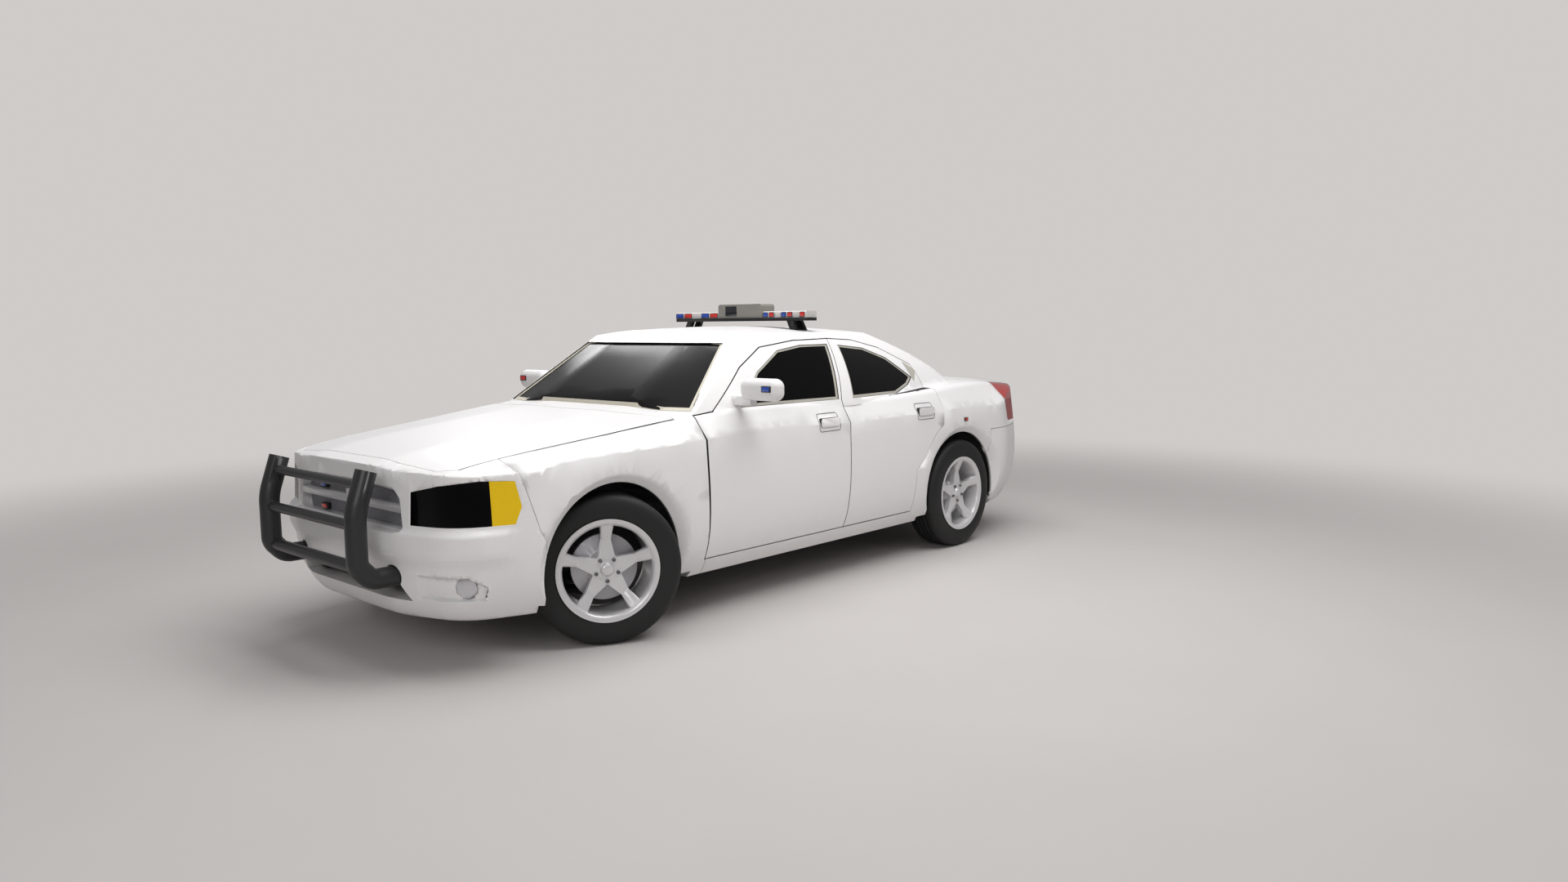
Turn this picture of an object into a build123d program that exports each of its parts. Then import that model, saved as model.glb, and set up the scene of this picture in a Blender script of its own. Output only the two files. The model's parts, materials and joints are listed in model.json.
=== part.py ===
from build123d import *
import math
import os

# A marked patrol car: a four-door saloon with a push bumper and a light bar.
# All sizes are millimetres. +X is the car's left, +Y runs to the tail, +Z is up.
# The car is drawn from the ground under its front axle, and moved when it is
# written out, so that the origin lies on the ground in the middle of the whole car.

# Driving dimensions
WHEELBASE = 3048
TRACK = 1610
PUSH_REACH = 1160
REAR_REACH = 4120
HALF_WIDTH = 945
SILL_Z = 240
CREASE_Z = 930
BELT_Z = 1100
ROOF_Z = 1550
TYRE_R = 374
TYRE_WIDTH = 228
RIM_R = 256
ARCH_R = 420
ARCH_Z = 385
HOUSE_R = 490
STEER_DEG = 28

# Clearances and panel thicknesses
SHUT_GAP = 6
SEAT_GAP = 0.3
PANEL = 30
COVER = 45
WALL = 46
DOOR_DEPTH = 140
FAR = 2500

# Lengthwise stations, from the front axle
NOSE_Y = -962
COWL_Y = 500
SHIFT_Y = (PUSH_REACH - REAR_REACH) / 2


# Shapes that the whole car uses


def rounded(points, radii):
    """A closed outline with its own radius at each corner."""
    return FilletPolyline(*points, radius=radii, close=True)


def mirrored(right):
    """The right half of an outline, followed by its mirror image."""
    return right + [(-x, *rest) for x, *rest in reversed(right)]


def across(outline, depth=FAR, grow=0.0):
    """A side view (y, z), with any corners rounded, as a prism across the car."""
    face = make_face(Polyline(*outline, close=True))
    if grow:
        face = offset(face, grow, kind=Kind.INTERSECTION)
    plane = Plane(origin=(-depth, 0, 0), x_dir=(0, 1, 0), z_dir=(1, 0, 0))
    return extrude(plane * face, 2 * depth)


def along(outline, y_from, y_to, grow=0.0):
    """A front view (x, z) as a prism along the car."""
    face = make_face(Polyline(*outline, close=True))
    if grow:
        face = offset(face, grow, kind=Kind.INTERSECTION)
    plane = Plane(origin=(0, y_to, 0), x_dir=(1, 0, 0), z_dir=(0, -1, 0))
    return extrude(plane * face, y_to - y_from)


def upright(outline, z_from, z_to, grow=0.0):
    """A plan view (x, y) as a prism that stands up."""
    face = make_face(Polyline(*outline, close=True))
    if grow:
        face = offset(face, grow, kind=Kind.INTERSECTION)
    return extrude(Pos(0, 0, z_from) * face, z_to - z_from)


def block(x_from, x_to, y_from, y_to, z_from, z_to):
    """A box between six planes."""
    size = (x_to - x_from, y_to - y_from, z_to - z_from)
    middle = ((x_from + x_to) / 2, (y_from + y_to) / 2, (z_from + z_to) / 2)
    return Pos(*middle) * Box(*size)


def main_solids(shape, least=20000):
    """The solids of a cut piece, without the slivers that a cut leaves."""
    return Compound(children=[solid for solid in shape.solids() if solid.volume > least])


def other_side(shape):
    """The same piece on the car's other side."""
    return mirror(shape, about=Plane.YZ)


def pair(shape):
    """A piece and its twin, as two solids of one node."""
    return Compound(children=[*shape.solids(), *other_side(shape).solids()])


# Outer form of the body
# The smooth sides swell this far past the rear end of the widest plan
PLAN_SWELL = 1.4
# Plan outlines, columns: height, half width, front end, rear end
PLANS = [
    (SILL_Z, 858, -890, 4000),
    (330, 908, -940, 4060),
    (600, HALF_WIDTH, NOSE_Y, REAR_REACH - PLAN_SWELL),
    (CREASE_Z, 928, -952, 4100),
    (1190, 912, -930, 4065),
]
# Corners of half a plan outline: share of the half width, distance from the end, radius
FRONT_CORNERS = [(0.45, 0, 650), (0.86, 115, 280), (1.0, 430, 400)]
REAR_CORNERS = [(1.0, -520, 450), (0.86, -118, 280), (0.48, 0, 650)]
# Tops, columns: station, shoulder half width, shoulder height, centre height, edge height
TOPS = [
    (-1010, 700, 858, 916, 838),
    (-500, 770, 973, 1012, 905),
    (0, 800, 1033, 1068, CREASE_Z),
    (560, 836, 1097, 1120, CREASE_Z),
    (1700, 850, 1104, 1130, CREASE_Z),
    (2900, 845, 1126, 1150, CREASE_Z),
    (3500, 800, 1132, 1158, CREASE_Z + 10),
    (4200, 740, 1096, 1124, CREASE_Z + 30),
]
SHOULDER_R = 70


def body_plan(z, half, front, rear, inset=0.0):
    """One level of the body's plan, all radii tangent."""
    half = half - inset
    right = [(half * s, front + inset + d) for s, d, r in FRONT_CORNERS]
    right += [(half * s, rear - inset + d) for s, d, r in REAR_CORNERS]
    radii = [r for s, d, r in FRONT_CORNERS + REAR_CORNERS]
    return make_face(Pos(0, 0, z) * rounded(mirrored(right), radii + radii[::-1]))


def body_top(y, half, shoulder, centre, edge, drop=0.0):
    """One cross section of what lies under the hood, belt and deck."""
    slope = (shoulder - edge) / (HALF_WIDTH - half)
    outer = HALF_WIDTH + 120
    right = [
        (outer, SILL_Z - 200),
        (outer, edge - slope * 120 - drop),
        (half, shoulder - drop),
        (0.42 * half, centre - drop),
    ]
    radii = [20, 20, SHOULDER_R, 700]
    plane = Plane(origin=(0, y, 0), x_dir=(1, 0, 0), z_dir=(0, -1, 0))
    return make_face(plane * rounded(mirrored(right), radii + radii[::-1]))


def lower_body(inset=0.0, drop=0.0):
    """The body up to the hood, belt and deck, or a smaller core of it."""
    sides = loft([body_plan(*row, inset) for row in PLANS])
    top = loft([body_top(*row, drop) for row in TOPS])
    return sides & top


# Greenhouse, columns: height, A-pillar x and y, windscreen centre, side half width,
# C-pillar x and y, rear window centre
HOUSE = [
    (1040, 856, 470, 350, 882, 740, 3330, 3545),
    (1290, 743, 800, 702, 772, 650, 2985, 3165),
    (1410, 671, 952, 880, 697, 575, 2730, 2860),
    (1560, 584, 1150, 1100, 608, 470, 2290, 2370),
]
# Roof crown, columns: station, height
ROOF_LINE = [(500, ROOF_Z - 55), (1750, ROOF_Z), (3300, ROOF_Z - 105)]
ROOF_CROWN_R = 4800


def house_plan(z, a_x, a_y, front, side, c_x, c_y, rear, inset=0.0):
    """One level of the cabin's glass house."""
    right = [
        (0.50 * a_x, front + 1.6 * inset),
        (a_x - inset, a_y + 1.3 * inset),
        (side - inset, 0.5 * (a_y + c_y)),
        (c_x - inset, c_y - 1.3 * inset),
        (0.50 * c_x, rear - 1.6 * inset),
    ]
    radii = [500, 40, 1500, 150, 500]
    return make_face(Pos(0, 0, z) * rounded(mirrored(right), radii + radii[::-1]))


def roof_crown(drop=0.0):
    """What lies under the roof's double curve."""
    arc = ThreePointArc(*[(y, z - drop) for y, z in ROOF_LINE])
    ends = [(ROOF_LINE[2][0], 900), (ROOF_LINE[0][0], 900)]
    sides = Polyline(arc @ 1, *ends, arc @ 0)
    profile = Plane.YZ * make_face([arc, sides])
    axis = Axis((0, 0, ROOF_Z - ROOF_CROWN_R), (0, 1, 0))
    half_turn = 13
    slab = revolve(profile.rotate(axis, -half_turn), axis, 2 * half_turn)
    return slab


def house(inset=0.0, drop=0.0):
    """The glass house, or a smaller core of it."""
    return loft([house_plan(*row, inset) for row in HOUSE]) & roof_crown(drop)


body_solid = lower_body()
body_core = lower_body(COVER, PANEL)
house_solid = house()
house_core = house(WALL, 36)

# Hollows inside the body
SILL_TOP = 330
FLOOR_TOP = 290
INNER_X = HALF_WIDTH - DOOR_DEPTH
CENTRE_X = 600
FIREWALL_Y = 440
REAR_WALL_Y = 2950
BAY_FRONT = -830
TRUNK_END = 4000
WHEEL_HOUSE_X = 470
REAR_HOUSE_X = CENTRE_X
REAR_AXLE_Y = WHEELBASE - 25

cabin = block(-INNER_X, INNER_X, COWL_Y, REAR_WALL_Y, FLOOR_TOP, BELT_Z + 60) & body_core
middle = block(-CENTRE_X, CENTRE_X, BAY_FRONT, TRUNK_END, FLOOR_TOP, ROOF_Z) & body_core
# The panels reach in past the wheel housings as a lip, bevelled on its outer side
FRONT_ARCH_Y = -38
REAR_ARCH_Y = WHEELBASE + 6
LIP_X = 880
BEVEL_X = 900
BEVEL = 60


def lengthwise_drum(y, radius, x_from, x_to):
    """A drum about a line across the car, on the left side."""
    return Pos((x_from + x_to) / 2, y, ARCH_Z) * Rot(0, 90, 0) * Cylinder(radius, x_to - x_from)


def left_arch(house_y, opening_y, inner_x):
    """A left wheel housing and the smaller opening that the panels leave."""
    spread = BEVEL / (HALF_WIDTH - BEVEL_X)
    reach = HALF_WIDTH + 20 - BEVEL_X
    cone = Cone(ARCH_R, ARCH_R + spread * reach, reach)
    bevel = Pos(BEVEL_X + reach / 2, opening_y, ARCH_Z) * Rot(0, 90, 0) * cone
    return (lengthwise_drum(house_y, HOUSE_R, inner_x, LIP_X)
            + lengthwise_drum(opening_y, ARCH_R, LIP_X - 10, FAR) + bevel)


front_arch = left_arch(0, FRONT_ARCH_Y, WHEEL_HOUSE_X)
rear_arch = left_arch(REAR_AXLE_Y, REAR_ARCH_Y, REAR_HOUSE_X)
arches = front_arch + rear_arch + other_side(front_arch) + other_side(rear_arch)

shell = body_solid - cabin - middle - arches
upper = house_solid - block(-FAR, FAR, -FAR, 2 * FAR, 0, BELT_Z - 40)
shell = (shell + upper) - house_core - cabin

# Shut lines and openings of the moving panels
# Hood in plan, columns: half width, station
HOOD = [(0, -868), (400, -868), (655, -838), (738, -775), (800, 0), (826, 420), (400, 345), (0, 330)]
# Trunk lid in plan, columns: half width, station
LID = [(0, 3560), (430, 3540), (610, 3420), (640, 3560), (640, 4300), (0, 4300)]
LID_LOW_Z = 830
# Doors seen from the side, columns: station, height
FRONT_DOOR = [
    (567, SILL_TOP), (560, 1082), (700, 1094), (1020, 1318), (1249, 1425), (1560, 1460), (1895, 1467),
    (1770, BELT_Z), (1733, SILL_TOP),
]
REAR_DOOR = [
    (1739, SILL_TOP), (1776, BELT_Z), (1901, 1467), (2190, 1454), (2469, 1400), (2757, 1277), (2796, 1149),
    (2800, 860), (2460, 600), (2440, SILL_TOP),
]
FRONT_WINDOW = [(907, 1106), (1140, 1293), (1381, 1408), (1600, 1436), (1862, 1437), (1752, 1104)]
REAR_WINDOW = [(1889, 1104), (1976, 1430), (2255, 1405), (2467, 1338), (2681, 1197), (2596, 1150), (2420, 1104)]
DOOR_SLANT = 0.25
DOOR_X = HALF_WIDTH + 20
ARCH_LIP = 46


def side_x(z):
    """The outer half width of the side at one height, for the slanted cuts."""
    if z <= CREASE_Z:
        return HALF_WIDTH
    if z <= BELT_Z:
        return HALF_WIDTH - (z - CREASE_Z) * (HALF_WIDTH - 850) / (BELT_Z - CREASE_Z)
    return 850 - (z - BELT_Z) * 0.54


def door_prism(outline, grow=0.0):
    """A left door's outline, cut inwards and forwards so that the door can swing."""
    flat = [(y + DOOR_SLANT * (DOOR_X - side_x(z)), z) for y, z in outline]
    face = make_face(Polyline(*flat, close=True))
    if grow:
        face = offset(face, grow, kind=Kind.INTERSECTION)
    plane = Plane(origin=(DOOR_X, 0, 0), x_dir=(0, 1, 0), z_dir=(1, 0, 0))
    depth = DOOR_X - 500
    return Solid.extrude((plane * face).face(), Vector(-depth, -depth * DOOR_SLANT, 0))


def left_window(outline, grow=0.0):
    """A side window's outline as a prism through the left side."""
    return across(outline, grow=grow) & block(400, FAR, -FAR, 2 * FAR, 0, FAR)


def symmetric_plan(half, z_from, z_to, grow=0.0):
    """A plan outline drawn for one half, as an upright prism."""
    right = [p for p in half if p[0] > 0]
    ends = [half[0], half[-1]]
    loop = [ends[0]] + right + [ends[1]] + [(-x, y) for x, y in reversed(right)]
    return upright(loop, z_from, z_to, grow)


front_end = body_solid & block(-FAR, FAR, -FAR, 700, 600, FAR)
tail_end = body_solid & block(-FAR, FAR, 3000, 2 * FAR, 600, FAR)
hood_panel = (front_end & symmetric_plan(HOOD, 700, ROOF_Z)) - Pos(0, 0, -PANEL) * front_end
hood_space = symmetric_plan(HOOD, 700, ROOF_Z, SHUT_GAP) - Pos(0, 0, -PANEL - SHUT_GAP) * front_end
lid_panel = (tail_end & symmetric_plan(LID, LID_LOW_Z, ROOF_Z)) - Pos(0, -COVER, -PANEL) * tail_end
lid_inner = Pos(0, -COVER - SHUT_GAP, -PANEL - SHUT_GAP) * tail_end
lid_space = symmetric_plan(LID, LID_LOW_Z - SHUT_GAP, ROOF_Z, SHUT_GAP) - lid_inner

door_arch = Pos(0, REAR_AXLE_Y, ARCH_Z) * Rot(0, 90, 0) * Cylinder(HOUSE_R + ARCH_LIP + SHUT_GAP, 2 * FAR)
opening_arch = Pos(0, REAR_AXLE_Y, ARCH_Z) * Rot(0, 90, 0) * Cylinder(HOUSE_R + ARCH_LIP, 2 * FAR)

# Panels of the left side, each mirrored to the right
BUMPER_SPLIT = [(-1300, 0), (-1300, 1100), (-600, 1100), (-585, 936), (-498, 640), (-440, 530), (-440, 0)]
REAR_SPLIT = [(3400, 0), (3400, 798), (4400, 798), (4400, 0)]
FENDER_END = 561
# Lamps seen from ahead or from the side
HEADLAMP = [(560, 681), (562, 830), (700, 862), (840, 884), (960, 868), (960, 683)]
TURN_START = -700
LAMP_SIDE = [(-1300, 600), (-1300, 950), (-610, 950), (-575, 760), (-640, 600)]
TAIL_LAMP = [(3700, 838), (3580, 1300), (4300, 1300), (4300, 838)]
TAIL_INNER = 655
# Openings of the front bumper seen from ahead, left end to middle
GRILLE = [(-470, 640), (-520, 652), (-500, 800), (-455, 846), (-200, 858)]
INTAKE = [(-525, 328), (-470, 425), (-200, 440)]
FOG_RECESS = [(580, 352), (585, 455), (815, 455), (850, 405), (828, 345)]
FOG_X = 784
FOG_Y = -786
FOG_Z = 408
FOG_R = 47
FOG_TURN = 38
FOG_SINK = 28

side = shell & block(CENTRE_X, FAR, -FAR, 2 * FAR, 0, FAR)
front_door = (side & door_prism(FRONT_DOOR)) - left_window(FRONT_WINDOW)
rear_door = (side & door_prism(REAR_DOOR)) - door_arch - left_window(REAR_WINDOW)
door_spaces = door_prism(FRONT_DOOR, SHUT_GAP) + (door_prism(REAR_DOOR, SHUT_GAP) - opening_arch)
fixed_side = side - door_spaces - hood_space - lid_space

lamp_zone = along(HEADLAMP, -1200, -500) & across(LAMP_SIDE)
lamp_body = (front_end - body_core) & lamp_zone
headlamp = lamp_body & block(0, FAR, -1200, TURN_START - SEAT_GAP, 0, FAR)
turn_lamp = lamp_body & block(0, FAR, TURN_START, 0, 0, FAR)
lamp_space = along(HEADLAMP, -1200, -500, SEAT_GAP) & across(LAMP_SIDE, grow=SEAT_GAP)
lamp_space = lamp_space - Pos(0, SEAT_GAP, 0) * body_core
lamp_spaces = lamp_space + other_side(lamp_space)
tail_zone = across(TAIL_LAMP) & block(TAIL_INNER, FAR, 3000, 5000, 0, FAR)
tail_lamp = (tail_end - body_core) & tail_zone
tail_space = across(TAIL_LAMP, grow=SEAT_GAP) & block(TAIL_INNER - SEAT_GAP, FAR, 3000, 5000, 0, FAR)
tail_space = tail_space - Pos(0, -SEAT_GAP, 0) * body_core

fender = fixed_side & block(CENTRE_X, FAR, -700, FENDER_END, 0, BELT_Z + 20)
quarter = fixed_side & block(CENTRE_X, FAR, FENDER_END + 4, 2 * FAR, 0, FAR)
quarter = quarter - across(REAR_SPLIT, grow=4) - tail_space

# Glass, set a little inside the surface of the glass house
GLASS = 6
GLASS_DEPTH = 9
WINDSCREEN = [(-818, 1104), (-614, 1457)]
REAR_GLASS = [(-640, 1165), (-500, 1445)]

skin_side = Pos(-GLASS_DEPTH, 0, 0) * house_solid - Pos(-GLASS_DEPTH - GLASS, 0, 0) * house_solid
front_glass = skin_side & left_window(FRONT_WINDOW, -SEAT_GAP)
rear_glass = skin_side & left_window(REAR_WINDOW, -SEAT_GAP)


def full_view(left_points):
    """A front view drawn for the left half, closed by its mirror image."""
    return left_points + [(-x, z) for x, z in reversed(left_points)]


windscreen_hole = along(full_view(WINDSCREEN), 200, 1500) - body_solid
rear_glass_hole = along(full_view(REAR_GLASS), 2200, 3600)
windscreen = (Pos(0, 2 * GLASS_DEPTH, 0) * house_solid) - (Pos(0, 2 * GLASS_DEPTH + 2 * GLASS, 0) * house_solid)
windscreen = windscreen & along(full_view(WINDSCREEN), 200, 1500, -SEAT_GAP)
windscreen = main_solids(windscreen - Pos(0, 0, SEAT_GAP) * body_solid)
rear_window = (Pos(0, -2 * GLASS_DEPTH, 0) * house_solid) - (Pos(0, -2 * GLASS_DEPTH - 2 * GLASS, 0) * house_solid)
rear_window = rear_window & along(full_view(REAR_GLASS), 2200, 3600, -SEAT_GAP)
quarter = main_solids(quarter - windscreen_hole - rear_glass_hole)
fender = main_solids(fender - across(BUMPER_SPLIT, grow=4) - windscreen_hole)

# Middle pieces of the body
DECK_START = 3000
ROOF_START = 900
COWL_END = 880
centre = shell & block(-CENTRE_X, CENTRE_X, -FAR, 2 * FAR, 0, FAR)
centre = centre - windscreen_hole - rear_glass_hole - hood_space - lid_space
roof_panel = centre & block(-FAR, FAR, ROOF_START, DECK_START, BELT_Z + 60, FAR)
cowl = centre & block(-FAR, FAR, 200, COWL_END, 900, BELT_Z + 60)
rear_deck = main_solids(centre & block(-FAR, FAR, DECK_START, 2 * FAR, 802, FAR))

# Hinge lugs that reach from the fixed skin under the hood and under the trunk lid
LUG_X = 515
LUG_HALF = 15
hood_lug = block(LUG_X - LUG_HALF, LUG_X + LUG_HALF, 385, FIREWALL_Y - 30 - SEAT_GAP, 1015, FAR) & body_solid
hood_lug = hood_lug + (block(LUG_X - LUG_HALF, LUG_X + LUG_HALF, 290, 395, 1015, FAR)
                       & Pos(0, 0, -PANEL - SEAT_GAP) * front_end)
cowl = cowl + hood_lug + other_side(hood_lug)
lid_lug = block(LUG_X - LUG_HALF, LUG_X + LUG_HALF, 3400, 3465, 1070, FAR) & body_solid
lid_lug = lid_lug + (block(LUG_X - LUG_HALF, LUG_X + LUG_HALF, 3455, 3560, 1070, FAR)
                     & Pos(0, -COVER, -PANEL - SEAT_GAP) * tail_end)
rear_deck = rear_deck + lid_lug + other_side(lid_lug)

UPRIGHT_X = 442
UPRIGHT_R = 47
FOOT_Z = 440
TAIL_PIPE = (420, 345, 34)
foot_hole = Pos(UPRIGHT_X, -900, FOOT_Z) * Rot(90, 0, 0) * Cylinder(UPRIGHT_R + 6, 300)
tail_pipe_hole = Pos(TAIL_PIPE[0], 4050, TAIL_PIPE[1]) * Rot(90, 0, 0) * Cylinder(TAIL_PIPE[2] + 6, 300)
front_bumper = (shell & across(BUMPER_SPLIT)) - hood_space - lamp_spaces
front_bumper = front_bumper - along(full_view(GRILLE), -1200, BAY_FRONT + 1)
front_bumper = front_bumper - along(full_view(INTAKE), -1200, BAY_FRONT + 1)
fog_hole = along(FOG_RECESS, -1200, -500) - Pos(0, FOG_SINK, 0) * body_solid
fog_place = Pos(FOG_X, FOG_Y, FOG_Z) * Rot(0, 0, FOG_TURN) * Rot(90, 0, 0)
fog_socket = fog_place * Pos(0, 0, -30) * Cylinder(FOG_R + SEAT_GAP, 140)
for hole in (fog_hole, other_side(fog_hole), fog_socket, other_side(fog_socket)):
    front_bumper = front_bumper - hole
fog_lamp = fog_place * Pos(0, 0, -25) * Cylinder(FOG_R, 50)
front_bumper = front_bumper - foot_hole - other_side(foot_hole)
rear_bumper = (shell & across(REAR_SPLIT)) - lid_space - block(-560, 560, 3300, 3940, 200, FLOOR_TOP + 1)
rear_bumper = rear_bumper - tail_pipe_hole - other_side(tail_pipe_hole)

# Floor, firewall and seat wall, seen from the side
FLOOR_Z = SILL_Z + 30
TRUNK_Z = 485
FLOOR_END = TRUNK_END - SEAT_GAP
FLOOR_LINE = [
    (FIREWALL_Y - 30, 1040), (FIREWALL_Y - 30, 400), (545, SILL_Z), (2530, SILL_Z), (2650, TRUNK_Z - 30),
    (FLOOR_END, TRUNK_Z - 30), (FLOOR_END, TRUNK_Z), (2960, TRUNK_Z), (2960, 1060), (2930, 1060),
    (2930, TRUNK_Z), (2640, TRUNK_Z), (2515, FLOOR_Z), (560, FLOOR_Z), (FIREWALL_Y, 412), (FIREWALL_Y, 1040),
]
# Floor in plan, half of it: half width, station
FLOOR_PLAN = [(0, 0), (CENTRE_X, 0), (CENTRE_X, 3900), (500, FLOOR_END), (0, FLOOR_END)]
underbody = symmetric_plan(FLOOR_PLAN, 0, 2000)
underbody = (underbody & across(FLOOR_LINE)) - arches

# Grille in its opening: a frame with a mesh and crossbars
GRILLE_Y = -925
GRILLE_DEPTH = 60
BAR = 17


def grille():
    """The grille's frame, its two broad crossbars and the mesh behind them."""
    opening = along(full_view(GRILLE), GRILLE_Y, GRILLE_Y + GRILLE_DEPTH, -SEAT_GAP)
    frame = opening - along(full_view(GRILLE), GRILLE_Y - 1, GRILLE_Y + GRILLE_DEPTH + 1, -16)
    bars = block(-560, 560, GRILLE_Y + 2, GRILLE_Y + 40, 745 - BAR, 745 + BAR)
    bars = bars + block(-24, 24, GRILLE_Y + 2, GRILLE_Y + 40, 600, 900)
    backing = block(-560, 560, GRILLE_Y + 40, GRILLE_Y + 52, 600, 900)
    return frame + ((bars + backing) & opening)


# Arch liners
LINER = 5
LINER_LOW_Z = 300


def liners():
    """Four inner arches, each a half drum with its inner wall."""
    pieces = []
    for y, inner in ((0, WHEEL_HOUSE_X + 1), (REAR_AXLE_Y, REAR_HOUSE_X + 1)):
        outer_r = HOUSE_R - SEAT_GAP
        length = LIP_X - SEAT_GAP - inner
        drum = Pos(inner + length / 2, y, ARCH_Z) * Rot(0, 90, 0) * Cylinder(outer_r, length)
        hollow = Pos(inner + LINER + length / 2, y, ARCH_Z) * Rot(0, 90, 0) * Cylinder(outer_r - LINER, length)
        liner = (drum - hollow) & block(0, FAR, y - 600, y + 600, LINER_LOW_Z, FAR)
        liner = liner - Pos(0, WHEELBASE, TYRE_R) * Rot(0, 90, 0) * Cylinder(60, 2 * FAR)
        pieces.append(liner.solids()[0])
        pieces.append(other_side(liner.solids()[0]))
    return Compound(children=pieces)


# Wheels, drawn about their own axle with the outer face towards +X
HALF_TYRE = TYRE_WIDTH / 2
BEAD_R = 234
DISC_R = 165
HUB_R = 78
BORE_R = 31
SPINDLE_R = BORE_R - 0.05
SPOKES = 5


def tyre():
    """A smooth tyre turned from its section."""
    section = [
        (-HALF_TYRE + 8, BEAD_R), (HALF_TYRE - 8, BEAD_R), (HALF_TYRE, 310), (HALF_TYRE - 10, TYRE_R - 14),
        (HALF_TYRE - 34, TYRE_R), (-HALF_TYRE + 34, TYRE_R), (-HALF_TYRE + 10, TYRE_R - 14), (-HALF_TYRE, 310),
    ]
    face = Plane.XY * make_face(Polyline(*section, close=True))
    return revolve(face, Axis.X, 360)


def wheel():
    """A cast five-spoke wheel with its barrel, hub, brake disc, cap and nuts."""
    edge = BEAD_R - SEAT_GAP
    barrel = [
        (-HALF_TYRE + 5, edge), (HALF_TYRE - 5, edge), (HALF_TYRE - 5, RIM_R), (HALF_TYRE, RIM_R),
        (HALF_TYRE, RIM_R - 16), (HALF_TYRE - 14, 222), (-HALF_TYRE + 8, 218), (-HALF_TYRE, RIM_R - 16),
        (-HALF_TYRE, RIM_R), (-HALF_TYRE + 5, RIM_R),
    ]
    rim = revolve(make_face(Polyline(*barrel, close=True)), Axis.X, 360)
    hub = [(-20, BORE_R), (66, BORE_R), (66, 0), (92, 0), (88, 26), (74, 36), (72, HUB_R), (40, HUB_R + 4)]
    hub += [(30, 90), (-20, 90)]
    body = revolve(make_face(Polyline(*hub, close=True)), Axis.X, 360)
    disc = [(-20, 60), (-20, DISC_R), (4, DISC_R), (4, 60)]
    body = body + revolve(make_face(Polyline(*disc, close=True)), Axis.X, 360)
    spoke_plan = [(-42, 60), (-22, 150), (-34, 228), (34, 228), (22, 150), (42, 60)]
    spoke_side = [(38, 60), (74, 60), (70, 140), (HALF_TYRE - 12, 228), (HALF_TYRE - 44, 228), (34, 140)]
    plan = extrude(Plane.YZ * make_face(Polyline(*spoke_plan, close=True)), 200)
    side_view = extrude(Plane.XZ * make_face(Polyline(*spoke_side, close=True)), 100, both=True)
    spoke = plan & side_view
    for i in range(SPOKES):
        turn = Rot(360 / SPOKES * i, 0, 0)
        body = body + turn * spoke
        body = body + Rot(360 / SPOKES * (i + 0.5), 0, 0) * (Pos(76, 0, 57) * Rot(0, 90, 0) * Cylinder(9, 16))
    return rim + body


# Steering: each wheel's kingpin, and the lower arm that carries it
KING_X = 745
ARM_Z = 216
ARM_TOP = 240


def knuckle():
    """The left knuckle about its kingpin, with the spindle that the wheel turns on."""
    reach = TRACK / 2 - KING_X
    spindle = Pos(reach + 15, 0, 0) * Rot(0, 90, 0) * Cylinder(SPINDLE_R, 90)
    flange = Pos(reach - 42, 0, 0) * Rot(0, 90, 0) * Cylinder(58, 40)
    post = block(-28, 28, -34, 34, ARM_TOP + SEAT_GAP - TYRE_R, 150)
    steer_arm = block(-24, 6, 30, 118, -96, -72)
    return post + flange + spindle + steer_arm


def lower_arm():
    """A wishbone from the subframe to the foot of the left kingpin."""
    outline = [(330, -170), (KING_X, -34), (KING_X + 32, 0), (KING_X, 34), (330, 170), (330, 100), (570, 0)]
    outline += [(330, -100)]
    return upright(outline, ARM_Z, ARM_TOP)


def front_subframe():
    """The cross beam under the engine with both wishbones."""
    beam = block(-340, 340, -180, 180, 190, 262) - block(-230, 230, -90, 90, 180, 300)
    rails = block(400, 468, FOOT_END + SEAT_GAP, FIREWALL_Y - 30 - SEAT_GAP, FOOT_Z - 35, FOOT_Z + 35)
    plate = block(376, 508, FOOT_END + SEAT_GAP, FOOT_END + 16, FOOT_Z - 66, FOOT_Z + 66)
    legs = block(302, 402, -60, 60, 250, FOOT_Z)
    left = lower_arm() + rails + plate + legs
    return beam + left + other_side(left)


def rear_axle():
    """Rear cross beam, final drive, shafts and the spindles of the rear wheels."""
    beam = block(-470, 470, -45, 45, 300, 400)
    drive = Pos(0, 0, TYRE_R - 20) * Rot(0, 90, 0) * Cylinder(95, 240)
    nose = Pos(0, -190, TYRE_R - 20) * Rot(90, 0, 0) * Cylinder(50, 220)
    mounts = block(400, 470, -40, 40, 390, 455 - SEAT_GAP)
    shaft = Pos(560, 0, TYRE_R) * Rot(0, 90, 0) * Cylinder(28, 260)
    carrier = block(676, 730, -60, 60, TYRE_R - 90, TYRE_R + 90)
    flange = Pos(755, 0, TYRE_R) * Rot(0, 90, 0) * Cylinder(58, 54)
    spindle = Pos(TRACK / 2 + 15, 0, TYRE_R) * Rot(0, 90, 0) * Cylinder(SPINDLE_R, 90)
    left = mounts + shaft + carrier + flange + spindle
    return Pos(0, WHEELBASE, 0) * (beam + drive + nose + left + other_side(left))


# Push bumper: two bowed uprights, three cross tubes and the feet
UPRIGHT_FRONT = -(PUSH_REACH - UPRIGHT_R)
FOOT_END = BAY_FRONT
UPRIGHT_LINE = [(-1052, 930), (UPRIGHT_FRONT, 745), (UPRIGHT_FRONT, 508), (UPRIGHT_FRONT + 62, FOOT_Z)]
UPRIGHT_LINE += [(FOOT_END, FOOT_Z)]
UPRIGHT_BENDS = [300, 70, 70]
CROSS_TUBES = [(-1078, 868, 22), (UPRIGHT_FRONT, 690, 24), (UPRIGHT_FRONT + 8, 500, 28)]


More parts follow.
